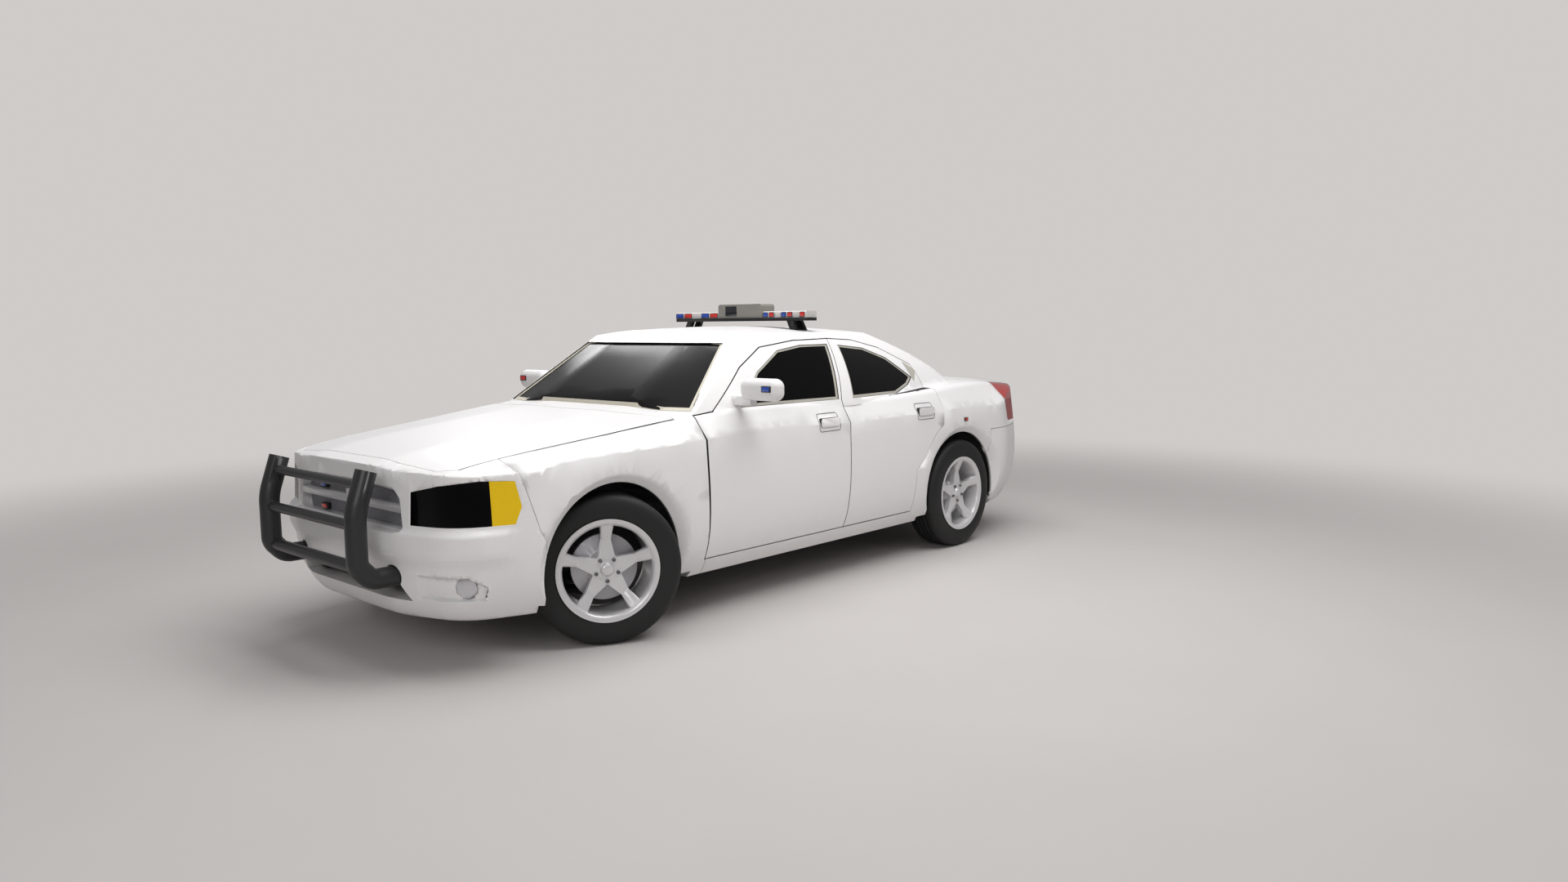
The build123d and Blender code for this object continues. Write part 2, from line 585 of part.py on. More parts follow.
def push_bumper():
    """The tubes of the push bumper."""
    points = [(UPRIGHT_X, y, z) for y, z in UPRIGHT_LINE]
    path = FilletPolyline(*points, radius=UPRIGHT_BENDS)
    start = Plane(origin=path @ 0, z_dir=path % 0)
    left = sweep(start * Circle(UPRIGHT_R), path)
    tubes = left + other_side(left)
    for y, z, radius in CROSS_TUBES:
        tubes = tubes + Pos(0, y, z) * Rot(0, 90, 0) * Cylinder(radius, 2 * UPRIGHT_X)
    return tubes


# Light bar across the roof
BAR_Y = 1810
BAR_HALF = 600
TRAY_Z = 1582
TRAY_H = 20
LENS_H = 42
LENS_DEPTH = 110
TRAY_DEPTH = 140
BOX_DEPTH = 120
BOX_FROM = -170
BOX_TO = 225
FOOT_APART = 80
FOOT_WIDE = 24
below_roof = Pos(0, 0, SEAT_GAP) * house_solid


def light_bar_tray():
    """The tray with two pairs of feet down to the roof."""
    half = TRAY_DEPTH / 2
    tray = block(-BAR_HALF, BAR_HALF, BAR_Y - half, BAR_Y + half, TRAY_Z, TRAY_Z + TRAY_H)
    tray = fillet(tray.edges().filter_by(Axis.Z), 45)
    outline = [(430, TRAY_Z + 1), (480, TRAY_Z + 1), (560, 1440), (500, 1440)]
    for y in (BAR_Y - FOOT_APART / 2, BAR_Y + FOOT_APART / 2):
        foot = along(outline, y - FOOT_WIDE / 2, y + FOOT_WIDE / 2) - below_roof
        tray = tray + foot + other_side(foot)
    return tray


def lens_places():
    """Where each lens starts and ends, from the car's right to its left."""
    gap = 4
    places = []
    for start, end, count in ((-BAR_HALF + 8, BOX_FROM - gap, 5), (BOX_TO + gap, BAR_HALF - 8, 7)):
        pitch = (end - start) / count
        places += [(start + i * pitch, start + (i + 1) * pitch - gap) for i in range(count)]
    return places


def light_bar_lenses():
    """A row of lamp modules that stand on the tray."""
    low = TRAY_Z + TRAY_H + SEAT_GAP
    lenses = []
    for start, end in lens_places():
        lens = block(start, end, BAR_Y - LENS_DEPTH / 2, BAR_Y + LENS_DEPTH / 2, low, low + LENS_H)
        lenses.append(fillet(lens.edges().group_by(Axis.Z)[-1].filter_by(Axis.X), 14).solids()[0])
    return Compound(children=lenses)


def light_bar_box():
    """The housing in the middle of the bar."""
    low = TRAY_Z + TRAY_H + SEAT_GAP
    box = block(BOX_FROM, BOX_TO, BAR_Y - BOX_DEPTH / 2, BAR_Y + BOX_DEPTH / 2, low, 1692)
    return fillet(box.edges().filter_by(Axis.Y).group_by(Axis.Z)[-1], 18)


# Mirrors, seats and the rest of the cabin
def door_mirror():
    """The left mirror's housing and its stalk, which meets the door."""
    housing = block(888, 1160, 838, 944, 1152, 1272)
    housing = fillet(housing.edges(), 46)
    stalk = block(815, 960, 868, 916, 1124, 1172)
    return (stalk + housing) - Pos(SEAT_GAP, 0, 0) * front_door


HANDLE_Z = 980
HANDLES = {"front": 1585, "rear": 2590}


def door_handle(y):
    """A left door's pull handle, rooted in the door."""
    grip = block(905, 932, y - 88, y + 88, HANDLE_Z - 26, HANDLE_Z + 26)
    return fillet(grip.edges().filter_by(Axis.X), 16)


def seat(x_from, x_to, y_front, depth, height, back_top, recline):
    """A seat: cushion and raked back in one."""
    low = FLOOR_Z + SEAT_GAP
    profile = [
        (y_front, low), (y_front + depth + 40, low), (y_front + depth + recline, back_top),
        (y_front + depth + recline - 90, back_top), (y_front + depth - 100, low + height),
        (y_front, low + height + 30),
    ]
    body = across(profile) & block(x_from, x_to, -FAR, 2 * FAR, 0, FAR)
    return fillet(body.edges().filter_by(Axis.X), 30)


def front_seats():
    """Two front seats."""
    left = seat(140, 590, 1270, 520, 200, 1190, 200)
    return Compound(children=[left.solids()[0], other_side(left).solids()[0]])


def rear_seat():
    """The rear bench, with its back against the seat wall."""
    low = FLOOR_Z + SEAT_GAP
    back = 2930 - SEAT_GAP
    profile = [(2180, low), (2500, low), (2625, TRUNK_Z + SEAT_GAP), (back, TRUNK_Z + SEAT_GAP), (back, 1040)]
    profile += [(2830, 1080), (2700, 560), (2180, 520)]
    body = across(profile) & block(-590, 590, -FAR, 2 * FAR, 0, FAR)
    return body


def dashboard():
    """The dashboard from door to door."""
    front = FIREWALL_Y + SEAT_GAP
    profile = [(front, 1030), (560, 1052), (860, 1040), (930, 990), (900, 800), (700, 720), (front, 720)]
    panel = across(profile) & block(-590, 590, -FAR, 2 * FAR, 0, FAR)
    return panel - on_column(Cylinder(COLUMN_R + SEAT_GAP, 900))


COLUMN_RISE = 24
COLUMN_R = 32
SHAFT_R = 12
WHEEL_HUB = (370, 1130, 940)


def on_column(shape):
    """A piece drawn about the steering column, its axis towards the driver."""
    return Pos(*WHEEL_HUB) * Rot(COLUMN_RISE - 90, 0, 0) * shape


def steering_column():
    """The column, which ends in the steering wheel's hub."""
    return on_column(Pos(0, 0, -150) * Cylinder(COLUMN_R, 230) + Pos(0, 0, -20) * Cylinder(SHAFT_R, 60))


def steering_wheel():
    """Rim, three spokes and hub, bored for the column."""
    spokes = Cylinder(52, 40) + Box(360, 34, 16) + Pos(0, -90, 0) * Box(34, 170, 16)
    bore = Pos(0, 0, -10) * Cylinder(SHAFT_R + 0.05, 44)
    return on_column(spokes + Torus(182, 15) - bore)


def engine():
    """A plain block at the engine's size and place."""
    return block(-300, 300, -420, 330, 262 + SEAT_GAP, 860)


def exhaust():
    """Two silencers with their pipes and tail pipes."""
    silencer = block(240, 500, 3420, 3860, 300, 440)
    silencer = fillet(silencer.edges().filter_by(Axis.Y), 55)
    pipe_x, pipe_z, pipe_r = TAIL_PIPE
    tail = Pos(pipe_x, 3975, pipe_z) * Rot(90, 0, 0) * Cylinder(pipe_r, 270)
    hanger = block(350, 390, 3600, 3640, 430, TRUNK_Z - 30 - SEAT_GAP)
    return pair(silencer + tail + hanger)


def b_pillars():
    """The two pillars between the doors, inboard of them."""
    lower = block(764, 798, 1690, 1815, FLOOR_TOP + SEAT_GAP, BELT_Z)
    outline = [(1690, 1090), (1790, 1600), (1915, 1600), (1815, 1090)]
    inner = Pos(-SHUT_GAP, 0, 0) * house_core
    upper = (inner & across(outline)) & block(400, FAR, 0, FAR, BELT_Z - 30, FAR)
    upper = upper - Pos(-28, 0, 0) * inner
    return pair(lower + upper)


# The car's nodes, each a piece or a set of like pieces on one body
tyre_shape = tyre()
wheel_shape = wheel()
knuckle_shape = knuckle()


def steered(shape, left=True):
    """A piece drawn about the left kingpin, at its rest angle on either side."""
    centred = shape if left else other_side(shape)
    king = KING_X if left else -KING_X
    return Pos(king, 0, TYRE_R) * Rot(0, 0, -STEER_DEG) * centred


nodes = {
    "underbody": underbody,
    "body_side_left": quarter,
    "body_side_right": other_side(quarter),
    "roof_panel": roof_panel,
    "cowl": cowl,
    "rear_deck": rear_deck,
    "b_pillars": b_pillars(),
    "front_fenders": pair(fender),
    "front_bumper": front_bumper,
    "rear_bumper": rear_bumper,
    "grille": grille(),
    "headlamps": pair(headlamp),
    "turn_lamps": pair(turn_lamp),
    "fog_lamps": pair(fog_lamp),
    "tail_lamps": pair(tail_lamp),
    "arch_liners": liners(),
    "windscreen": windscreen,
    "rear_window": rear_window,
    "push_bumper": push_bumper(),
    "light_bar_tray": light_bar_tray(),
    "light_bar_lenses": light_bar_lenses(),
    "light_bar_box": light_bar_box(),
    "front_seats": front_seats(),
    "rear_seat": rear_seat(),
    "dashboard": dashboard(),
    "steering_column": steering_column(),
    "steering_wheel": steering_wheel(),
    "engine": engine(),
    "exhaust": exhaust(),
    "front_subframe": front_subframe(),
    "rear_axle": rear_axle(),
    "hood": hood_panel,
    "trunk_lid": lid_panel,
}
mirror_shape = door_mirror()
for word, turn in (("left", lambda shape: shape), ("right", other_side)):
    nodes[f"front_door_{word}"] = turn(front_door + door_handle(HANDLES["front"]))
    nodes[f"rear_door_{word}"] = turn(rear_door + door_handle(HANDLES["rear"]))
    nodes[f"front_glass_{word}"] = turn(front_glass)
    nodes[f"rear_glass_{word}"] = turn(rear_glass)
    nodes[f"mirror_{word}"] = turn(mirror_shape)
    out = Pos(TRACK / 2 - KING_X, 0, 0)
    rear_place = Pos(TRACK / 2, WHEELBASE, TYRE_R)
    nodes[f"front_knuckle_{word}"] = steered(knuckle_shape, word == "left")
    nodes[f"front_wheel_{word}"] = steered(out * wheel_shape, word == "left")
    nodes[f"front_tyre_{word}"] = steered(out * tyre_shape, word == "left")
    nodes[f"rear_wheel_{word}"] = turn(rear_place * wheel_shape)
    nodes[f"rear_tyre_{word}"] = turn(rear_place * tyre_shape)

os.makedirs("parts", exist_ok=True)
for name, shape in nodes.items():
    export_step(Pos(0, SHIFT_Y, 0) * shape, f"parts/{name}.step")
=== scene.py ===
import json
import math

import bmesh
import bpy
from mathutils import Matrix, Vector
from mathutils.bvhtree import BVHTree
from mathutils.geometry import convex_hull_2d


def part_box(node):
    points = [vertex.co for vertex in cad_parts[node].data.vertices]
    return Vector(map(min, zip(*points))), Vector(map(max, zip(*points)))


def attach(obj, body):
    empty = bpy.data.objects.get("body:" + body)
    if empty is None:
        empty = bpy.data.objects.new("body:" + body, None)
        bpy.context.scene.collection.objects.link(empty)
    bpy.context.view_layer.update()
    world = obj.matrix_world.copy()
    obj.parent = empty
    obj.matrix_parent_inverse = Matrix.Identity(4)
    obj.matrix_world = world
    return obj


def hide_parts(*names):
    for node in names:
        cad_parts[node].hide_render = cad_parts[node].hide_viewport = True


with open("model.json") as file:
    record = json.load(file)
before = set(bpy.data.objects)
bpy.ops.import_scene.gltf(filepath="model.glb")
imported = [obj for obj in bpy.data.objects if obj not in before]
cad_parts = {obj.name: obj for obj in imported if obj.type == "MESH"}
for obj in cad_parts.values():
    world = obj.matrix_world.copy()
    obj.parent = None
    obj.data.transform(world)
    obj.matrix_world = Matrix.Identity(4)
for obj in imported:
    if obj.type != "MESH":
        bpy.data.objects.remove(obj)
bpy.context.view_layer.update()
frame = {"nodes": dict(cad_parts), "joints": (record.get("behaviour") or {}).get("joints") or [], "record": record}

# Painted body
# The fixed panels, doors, hood and trunk lid are pressed steel sheet, welded or hinged, and sprayed
# in white two-coat enamel: a smooth clear film over the colour, with faint orange peel and some road
# dust towards the sills.
scene = bpy.context.scene
behaviour = frame["record"]["behaviour"]
BODY_OF = {node: body for body, nodes in behaviour["bodies"].items() for node in nodes}
MM = 0.001
SIDES = {"left": 1, "right": -1}
WHITE_ENAMEL = "#F1F0F0"
ENAMEL_SHADE = "#ECEAEA"
ROAD_DUST = "#C6C2C0"
DUST_TOP = 0.62
DUST_SHARE = 0.22
MERGE_DISTANCE = 0.02 * MM


def hex_colour(code):
    """An sRGB hex colour as the linear numbers that a shader takes."""
    parts = [int(code[i:i + 2], 16) / 255 for i in (1, 3, 5)]
    linear = [part / 12.92 if part <= 0.04045 else ((part + 0.055) / 1.055) ** 2.4 for part in parts]
    return (*linear, 1.0)


def add_node(material, kind, inputs=None, **settings):
    """A shader node with its settings, and its inputs as numbers or as links from other nodes."""
    node = material.node_tree.nodes.new("ShaderNode" + kind)
    for name, value in settings.items():
        setattr(node, name, value)
    for socket, value in (inputs or {}).items():
        if isinstance(value, bpy.types.NodeSocket):
            material.node_tree.links.new(value, node.inputs[socket])
        else:
            node.inputs[socket].default_value = value
    return node


def surface(name, colour, shade, cell_mm, relief_mm, **sockets):
    """A material whose colour drifts towards a shade, with a fine relief, over cells of a real size."""
    material = bpy.data.materials.new(name)
    material.use_nodes = True
    shader = material.node_tree.nodes["Principled BSDF"]
    place = add_node(material, "TexCoord")
    cells = add_node(material, "TexNoise", {"Vector": place.outputs["Object"], "Scale": 1 / (cell_mm * MM)})
    drift = {0: cells.outputs["Fac"], 6: hex_colour(colour), 7: hex_colour(shade)}
    mix = add_node(material, "Mix", drift, data_type="RGBA")
    bump = add_node(material, "Bump", {"Height": cells.outputs["Fac"], "Distance": relief_mm * MM})
    material.node_tree.links.new(mix.outputs[2], shader.inputs["Base Color"])
    material.node_tree.links.new(bump.outputs["Normal"], shader.inputs["Normal"])
    for socket, value in sockets.items():
        shader.inputs[socket.replace("_", " ")].default_value = value
    return material


def dusted(material, dust, top, share):
    """Adds dust that thins out from the ground up to one height."""
    shader = material.node_tree.nodes["Principled BSDF"]
    below = shader.inputs["Base Color"].links[0].from_socket
    place = add_node(material, "TexCoord")
    height = add_node(material, "SeparateXYZ", {0: place.outputs["Object"]})
    fall = {"Value": height.outputs["Z"], "From Min": 0.2, "From Max": top, "To Min": share, "To Max": 0.0}
    fade = add_node(material, "MapRange", fall, interpolation_type="SMOOTHSTEP")
    patches = add_node(material, "TexNoise", {"Vector": place.outputs["Object"], "Scale": 9.0, "Detail": 5.0})
    amount = add_node(material, "Math", {0: fade.outputs[0], 1: patches.outputs["Fac"]}, operation="MULTIPLY")
    mix = add_node(material, "Mix", {0: amount.outputs[0], 6: below, 7: hex_colour(dust)}, data_type="RGBA")
    material.node_tree.links.new(mix.outputs[2], shader.inputs["Base Color"])
    return material


def finished(node, *materials, pick=None, crease_deg=30):
    """A merged, smooth copy of a CAD node in its own place, with its material or materials."""
    mesh = frame["nodes"][node].data.copy()
    mesh.materials.clear()
    for material in materials:
        mesh.materials.append(material)
    form = bmesh.new()
    form.from_mesh(mesh)
    bmesh.ops.remove_doubles(form, verts=form.verts, dist=MERGE_DISTANCE)
    form.normal_update()
    for face in form.faces:
        face.smooth = True
        face.material_index = pick(face.calc_center_median(), face.normal) if pick else 0
    form.to_mesh(mesh)
    form.free()
    mesh.set_sharp_from_angle(angle=math.radians(crease_deg))
    piece = bpy.data.objects.new(node + "_finished", mesh)
    scene.collection.objects.link(piece)
    even = piece.modifiers.new("even_shading", "WEIGHTED_NORMAL")
    even.keep_sharp = True
    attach(piece, BODY_OF[node])
    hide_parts(node)
    return piece


enamel = surface("white_two_coat_enamel", WHITE_ENAMEL, ENAMEL_SHADE, 9, 0.012, Roughness=0.45,
                 Coat_Weight=0.35, Coat_Roughness=0.22, IOR=1.5)
dusted(enamel, ROAD_DUST, DUST_TOP, DUST_SHARE)
headliner = surface("knitted_polyester_headliner", "#8E8C86", "#7C7A75", 3, 0.3, Roughness=0.95,
                    Sheen_Weight=0.3)
door_trim = surface("moulded_vinyl_trim", "#2B2A29", "#222120", 2.5, 0.12, Roughness=0.6)
# Black on the edge walls of the doors, lids and fenders, and under the lids, is painted shade of the shut gaps and
# of the space under the lids.
gap_shade_seal = surface("black_painted_gap_shade", "#161616", "#1C1C1C", 3, 0.05, Roughness=0.8)
FRONT_AXLE_Y = next(joint["pos_m"][1] for joint in frame["joints"] if joint["name"] == "steer_left")
DOOR_START = FRONT_AXLE_Y + 0.45
SKIN_X = 0.87
FACES_INWARDS = 0.35
FACES_DOWN = 0.3
DOOR_EDGE = 0.3
LID_EDGE = 0.9


def lined(side):
    """Enamel outside, and trim on what faces the middle of the car inside the outer skin."""
    return lambda place, normal: 1 if normal.x * side < -FACES_INWARDS and abs(place.x) < SKIN_X else 0


def door_part(side):
    """Trim inside, and black on the edge walls of a door as painted shade in its shut gap."""
    inside = lined(side)
    return lambda place, normal: 2 if abs(normal.x) < DOOR_EDGE else inside(place, normal)


def lid_part(place, normal):
    """Black on the side edge walls of a lid as painted shade in its shut gaps, and black below it as painted shade
    under the lid.
    """
    return 1 if abs(normal.x) > LID_EDGE or normal.z < -LID_EDGE else 0


def fender_part(place, normal):
    """Black on the rear edge wall of a fender, towards the door, as painted shade in the shut gap."""
    return 1 if normal.y > LID_EDGE and place.y > DOOR_START else 0


for word, side in SIDES.items():
    finished(f"body_side_{word}", enamel, door_trim, pick=lined(side))
    finished(f"front_door_{word}", enamel, door_trim, gap_shade_seal, pick=door_part(side))
    finished(f"rear_door_{word}", enamel, door_trim, gap_shade_seal, pick=door_part(side))
finished("roof_panel", enamel, headliner, pick=lambda place, normal: 1 if normal.z < -FACES_DOWN else 0)
for panel in ("cowl", "rear_deck"):
    finished(panel, enamel)
for panel in ("hood", "trunk_lid"):
    finished(panel, enamel, gap_shade_seal, pick=lid_part)
finished("front_fenders", enamel, gap_shade_seal, pick=fender_part)

# Bumper covers
# Injection-moulded polypropylene, sprayed in the body's white with a flexible clear coat, so it is a
# little softer in gloss than the steel beside it.
cover_paint = surface("painted_polypropylene", "#F1F0F0", "#EAE8E8", 7, 0.014, Roughness=0.46,
                      Coat_Weight=0.3, Coat_Roughness=0.25)
dusted(cover_paint, ROAD_DUST, DUST_TOP, DUST_SHARE)
front_cover = finished("front_bumper", cover_paint)
finished("rear_bumper", cover_paint)

# The front cover stands proud of the lamps as a padded bar, with a ledge along its upper edge.
BAR_PROUD = 26 * MM
LEDGE_Z = (0.672, 0.640)
BAR_FOOT_Z = (0.480, 0.560)
BAR_ENDS_Y = (-0.56, -0.76)
CUT_HEIGHTS = [0.48 + 0.02 * i for i in range(7)] + [0.615, 0.63, 0.64, 0.648, 0.656, 0.664, 0.672, 0.68]
CUT_STEP = 0.05
CUTS_A_SIDE = 18
LEVEL_NORMAL = 0.3
REAR_FACING = 0.02
NEAR_GAP = 2 * MM
NEAR_REACH = 0.6


def eased(value, start, end):
    """From 0 at the start to 1 at the end, with a soft beginning and finish."""
    share = max(0.0, min(1.0, (value - start) / (end - start)))
    return share * share * (3 - 2 * share)


form = bmesh.new()
form.from_mesh(front_cover.data)
for z in CUT_HEIGHTS:
    bmesh.ops.bisect_plane(form, geom=form.verts[:] + form.edges[:] + form.faces[:], plane_co=(0, 0, z),
                           plane_no=(0, 0, 1))
for i in range(-CUTS_A_SIDE, CUTS_A_SIDE + 1):
    bmesh.ops.bisect_plane(form, geom=form.verts[:] + form.edges[:] + form.faces[:],
                           plane_co=(i * CUT_STEP, 0, 0), plane_no=(1, 0, 0))
form.normal_update()
skin = BVHTree.FromBMesh(form)
for vertex in form.verts:
    out = Vector((vertex.normal.x, vertex.normal.y, 0))
    if out.length < LEVEL_NORMAL or out.y > REAR_FACING:
        continue
    out.normalize()
    rise = (eased(vertex.co.z, *LEDGE_Z) * eased(vertex.co.z, *BAR_FOOT_Z)
            * eased(vertex.co.y - FRONT_AXLE_Y, *BAR_ENDS_Y))
    if rise > 0 and skin.ray_cast(vertex.co + out * NEAR_GAP, out, NEAR_REACH)[0] is None:
        vertex.co += out * BAR_PROUD * rise
form.to_mesh(front_cover.data)
form.free()

# Glass and its surrounds
# Tempered door panes and laminated screens of float glass, tinted, and given a near-black, nearly opaque colour
# that is painted shade of the dark cabin behind them. Each pane sits in an extruded rubber and aluminium surround,
# pale grey on the doors and cream round the windscreen.
# The near-black, nearly opaque glass colour is partly tint and partly painted shade of the cabin behind.
tinted_glass_and_cabin_shade = surface("tinted_float_glass_painted_cabin_shade", "#030304", "#050505", 40, 0.0, Roughness=0.05, IOR=1.45,
                       Specular_IOR_Level=0.15, Transmission_Weight=0.1)
screen_glass_and_cabin_shade = surface("windscreen_glass_painted_cabin_shade", "#050506", "#070708", 40, 0.0, Roughness=0.2, IOR=1.45,
                       Specular_IOR_Level=0.45, Transmission_Weight=0.1)
grey_surround = surface("grey_anodised_surround", "#B9B6AC", "#AEABA1", 6, 0.02, Roughness=0.45)
cream_surround = surface("cream_rubber_surround", "#D9D3C4", "#CFC9BA", 6, 0.03, Roughness=0.6)
SKIN_FACING = 0.4
OUTLINE_FAR = 3.0
OUTLINE_FIT = 0.997
OUTLINE_SLACK = 1 * MM
LONG_EDGE = 20 * MM
EDGE_CUTS = 5
NEAREST_ROUNDS = 6
finished("windscreen", screen_glass_and_cabin_shade, crease_deg=40)
finished("rear_window", tinted_glass_and_cabin_shade, crease_deg=40)
for word in SIDES:
    finished(f"front_glass_{word}", tinted_glass_and_cabin_shade, crease_deg=40)
    finished(f"rear_glass_{word}", tinted_glass_and_cabin_shade, crease_deg=40)


def outer_skin(node, towards):
    """The faces of a node that look one way, as a merged mesh."""
    form = bmesh.new()
    form.from_mesh(frame["nodes"][node].data)
    bmesh.ops.remove_doubles(form, verts=form.verts, dist=MERGE_DISTANCE)
    form.normal_update()
    inner = [face for face in form.faces if face.normal.dot(towards) < SKIN_FACING]
    bmesh.ops.delete(form, geom=inner, context="FACES")
    return form


def new_piece(name, form, material, body, crease_deg=30):
    """A finished piece from a bmesh, riding on its body."""
    mesh = bpy.data.meshes.new(name)
    form.to_mesh(mesh)
    form.free()
    mesh.materials.append(material)
    mesh.shade_smooth()
    mesh.set_sharp_from_angle(angle=math.radians(crease_deg))
    piece = bpy.data.objects.new(name, mesh)
    scene.collection.objects.link(piece)
    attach(piece, body)
    return piece


def simpler(loop):
    """The corners of a closed line, with the points left out that lie within a millimetre of it."""
    far = max(range(len(loop)), key=lambda i: (loop[i] - loop[0]).length)
    kept = []
    halves = [loop[:far + 1], loop[far:] + loop[:1]]
    while halves:
        part = halves.pop(0)
        run = (part[-1] - part[0]).normalized()
        offs = [(point - part[0] - run * run.dot(point - part[0])).length for point in part]
        worst = max(range(len(part)), key=offs.__getitem__)
        if offs[worst] > OUTLINE_SLACK:
            halves = [part[:worst + 1], part[worst:]] + halves
        else:
            kept.append(part[0])
    return kept


def outline_of(node, towards):
    """The outline of a convex pane, seen from outside, as corners in order."""
    towards = Vector(towards).normalized()
    turn = towards.rotation_difference(Vector((0, 0, 1)))
    form = outer_skin(node, towards)
    flat = [turn @ vertex.co for vertex in form.verts if vertex.link_faces]
    form.free()
    hull = convex_hull_2d([point.xy for point in flat])
    return simpler([turn.inverted() @ flat[i] for i in hull])


def plate_on(name, node, towards, outline, corner, thick, proud, material, ring_width=None):
    """A thin plate or ring drawn by its outline, lying on the outer face of a node."""
    towards = Vector(towards).normalized()
    target = outer_skin(node, towards)
    tree = BVHTree.FromBMesh(target)
    target.free()
    flat = [Vector(point) - towards * Vector(point).dot(towards) for point in outline]
    centre = sum(flat, Vector()) / len(flat)
    form = bmesh.new()
    corners = [form.verts.new(centre + (point - centre) * OUTLINE_FIT) for point in flat]
    bmesh.ops.contextual_create(form, geom=corners)
    if corner:
        bmesh.ops.bevel(form, geom=form.verts[:], offset=corner, segments=4, profile=0.5, affect="VERTICES",
                        material=-1)
    if ring_width:
        ring = set(bmesh.ops.inset_region(form, faces=form.faces[:], thickness=ring_width, use_boundary=True,
                                          use_even_offset=True)["faces"])
        bmesh.ops.delete(form, geom=[face for face in form.faces if face not in ring], context="FACES")
    else:
        bmesh.ops.triangulate(form, faces=form.faces[:])
    long_edges = [edge for edge in form.edges if edge.calc_length() > LONG_EDGE]
    bmesh.ops.subdivide_edges(form, edges=long_edges, cuts=EDGE_CUTS, use_grid_fill=True)
    for vertex in form.verts:
        place = tree.ray_cast(vertex.co + towards * OUTLINE_FAR, -towards)[0]
        if place is None:
            place = Vector(outline[0])
            for _ in range(NEAREST_ROUNDS):
                place = tree.find_nearest(vertex.co + towards * place.dot(towards))[0]
        vertex.co += towards * (place.dot(towards) + proud - thick)
    raised = bmesh.ops.extrude_face_region(form, geom=form.faces[:])["geom"]
    top = [part for part in raised if isinstance(part, bmesh.types.BMVert)]
    bmesh.ops.translate(form, vec=towards * thick, verts=top)
    bmesh.ops.recalc_face_normals(form, faces=form.faces)
    return new_piece(name, form, material, BODY_OF[node])


# Columns: pane, direction it faces, width of its surround in mm, material.
SURROUND_THICK = 4 * MM
SURROUND_PROUD = 2 * MM
SURROUNDS = [("windscreen", (0, -0.8, 0.6), 26, cream_surround),
             ("rear_window", (0, 0.5, 0.8), 22, grey_surround)]
for word, side in SIDES.items():
    SURROUNDS += [(f"{end}_glass_{word}", (side, 0, 0.3), 16, grey_surround) for end in ("front", "rear")]
for pane, towards, width, material in SURROUNDS:
    outline = outline_of(pane, towards)
    plate_on(f"{pane}_surround", pane, towards, outline, 0, SURROUND_THICK, SURROUND_PROUD, material,
             ring_width=width * MM)

# The fixed corner behind each rear door window is a pale grey moulded blank.
# Columns: distance behind the front axle, height.
WINDOW_CORNER = [(2.648, 1.305), (2.690, 1.168), (2.762, 1.238), (2.735, 1.262)]
BLANK_X = 0.8
BLANK_CORNER = 6 * MM
BLANK_THICK = 5 * MM
BLANK_PROUD = 2 * MM
for word, side in SIDES.items():
    outline = [(side * BLANK_X, y + FRONT_AXLE_Y, z) for y, z in WINDOW_CORNER]
    plate_on(f"window_corner_{word}", f"rear_door_{word}", (side, 0, 0), outline, BLANK_CORNER, BLANK_THICK,
             BLANK_PROUD, grey_surround)

# Lamps
# Moulded polycarbonate lenses on sealed housings. The headlamps are smoked almost black, the corner
# lamps are amber, the tail lamps red and the fog lamps clear over a bright reflector.
smoked_lens = surface("smoked_polycarbonate", "#020203", "#040405", 30, 0.0, Roughness=0.06, IOR=1.45,
                      Specular_IOR_Level=0.25)
amber_lens = surface("amber_polycarbonate", "#F6CE10", "#F2C508", 12, 0.05, Roughness=0.2, IOR=1.5,
                     Coat_Weight=0.3, Coat_Roughness=0.05)
red_lens = surface("red_polycarbonate", "#C0211B", "#A51510", 10, 0.05, Roughness=0.1, IOR=1.58,
                   Coat_Weight=0.9, Coat_Roughness=0.03)
clear_lens = surface("clear_polycarbonate_on_chrome", "#D3D2D6", "#C4C3C8", 9, 0.12, Roughness=0.12,
                     Metallic=0.35, Coat_Weight=1.0, Coat_Roughness=0.02)
finished("headlamps", smoked_lens)
finished("turn_lamps", amber_lens)
finished("tail_lamps", red_lens)
finished("fog_lamps", clear_lens)

# Grille
# One moulding in grey plastic: a frame, two broad crossbars sprayed silver white, and a fine
# diamond mesh behind them. A blue and a red lamp stand on the mesh on the car's right.
silver_bar = surface("silver_sprayed_abs", "#E4E3E4", "#D9D8DA", 5, 0.01, Roughness=0.3, Metallic=0.3,
                     Coat_Weight=0.5)
grey_mesh = surface("grey_moulded_mesh", "#7C7B80", "#6E6D72", 4, 0.05, Roughness=0.55)
MESH_PITCH = 14 * MM
mesh_shader = grey_mesh.node_tree.nodes["Principled BSDF"]
mesh_place = add_node(grey_mesh, "TexCoord")
mesh_waves = []
for turn in (45, -45):
    turned = add_node(grey_mesh, "Mapping", {"Vector": mesh_place.outputs["Object"],
                                             "Rotation": (0, math.radians(turn), 0)})
    wave = add_node(grey_mesh, "TexWave", {"Vector": turned.outputs[0], "Scale": 0.314 / MESH_PITCH})
    mesh_waves.append(wave.outputs["Fac"])
mesh_wires = add_node(grey_mesh, "Math", {0: mesh_waves[0], 1: mesh_waves[1]}, operation="MAXIMUM")
mesh_depth = {"Value": mesh_wires.outputs[0], "From Min": 0.55, "From Max": 0.85}
mesh_edge = add_node(grey_mesh, "MapRange", mesh_depth)
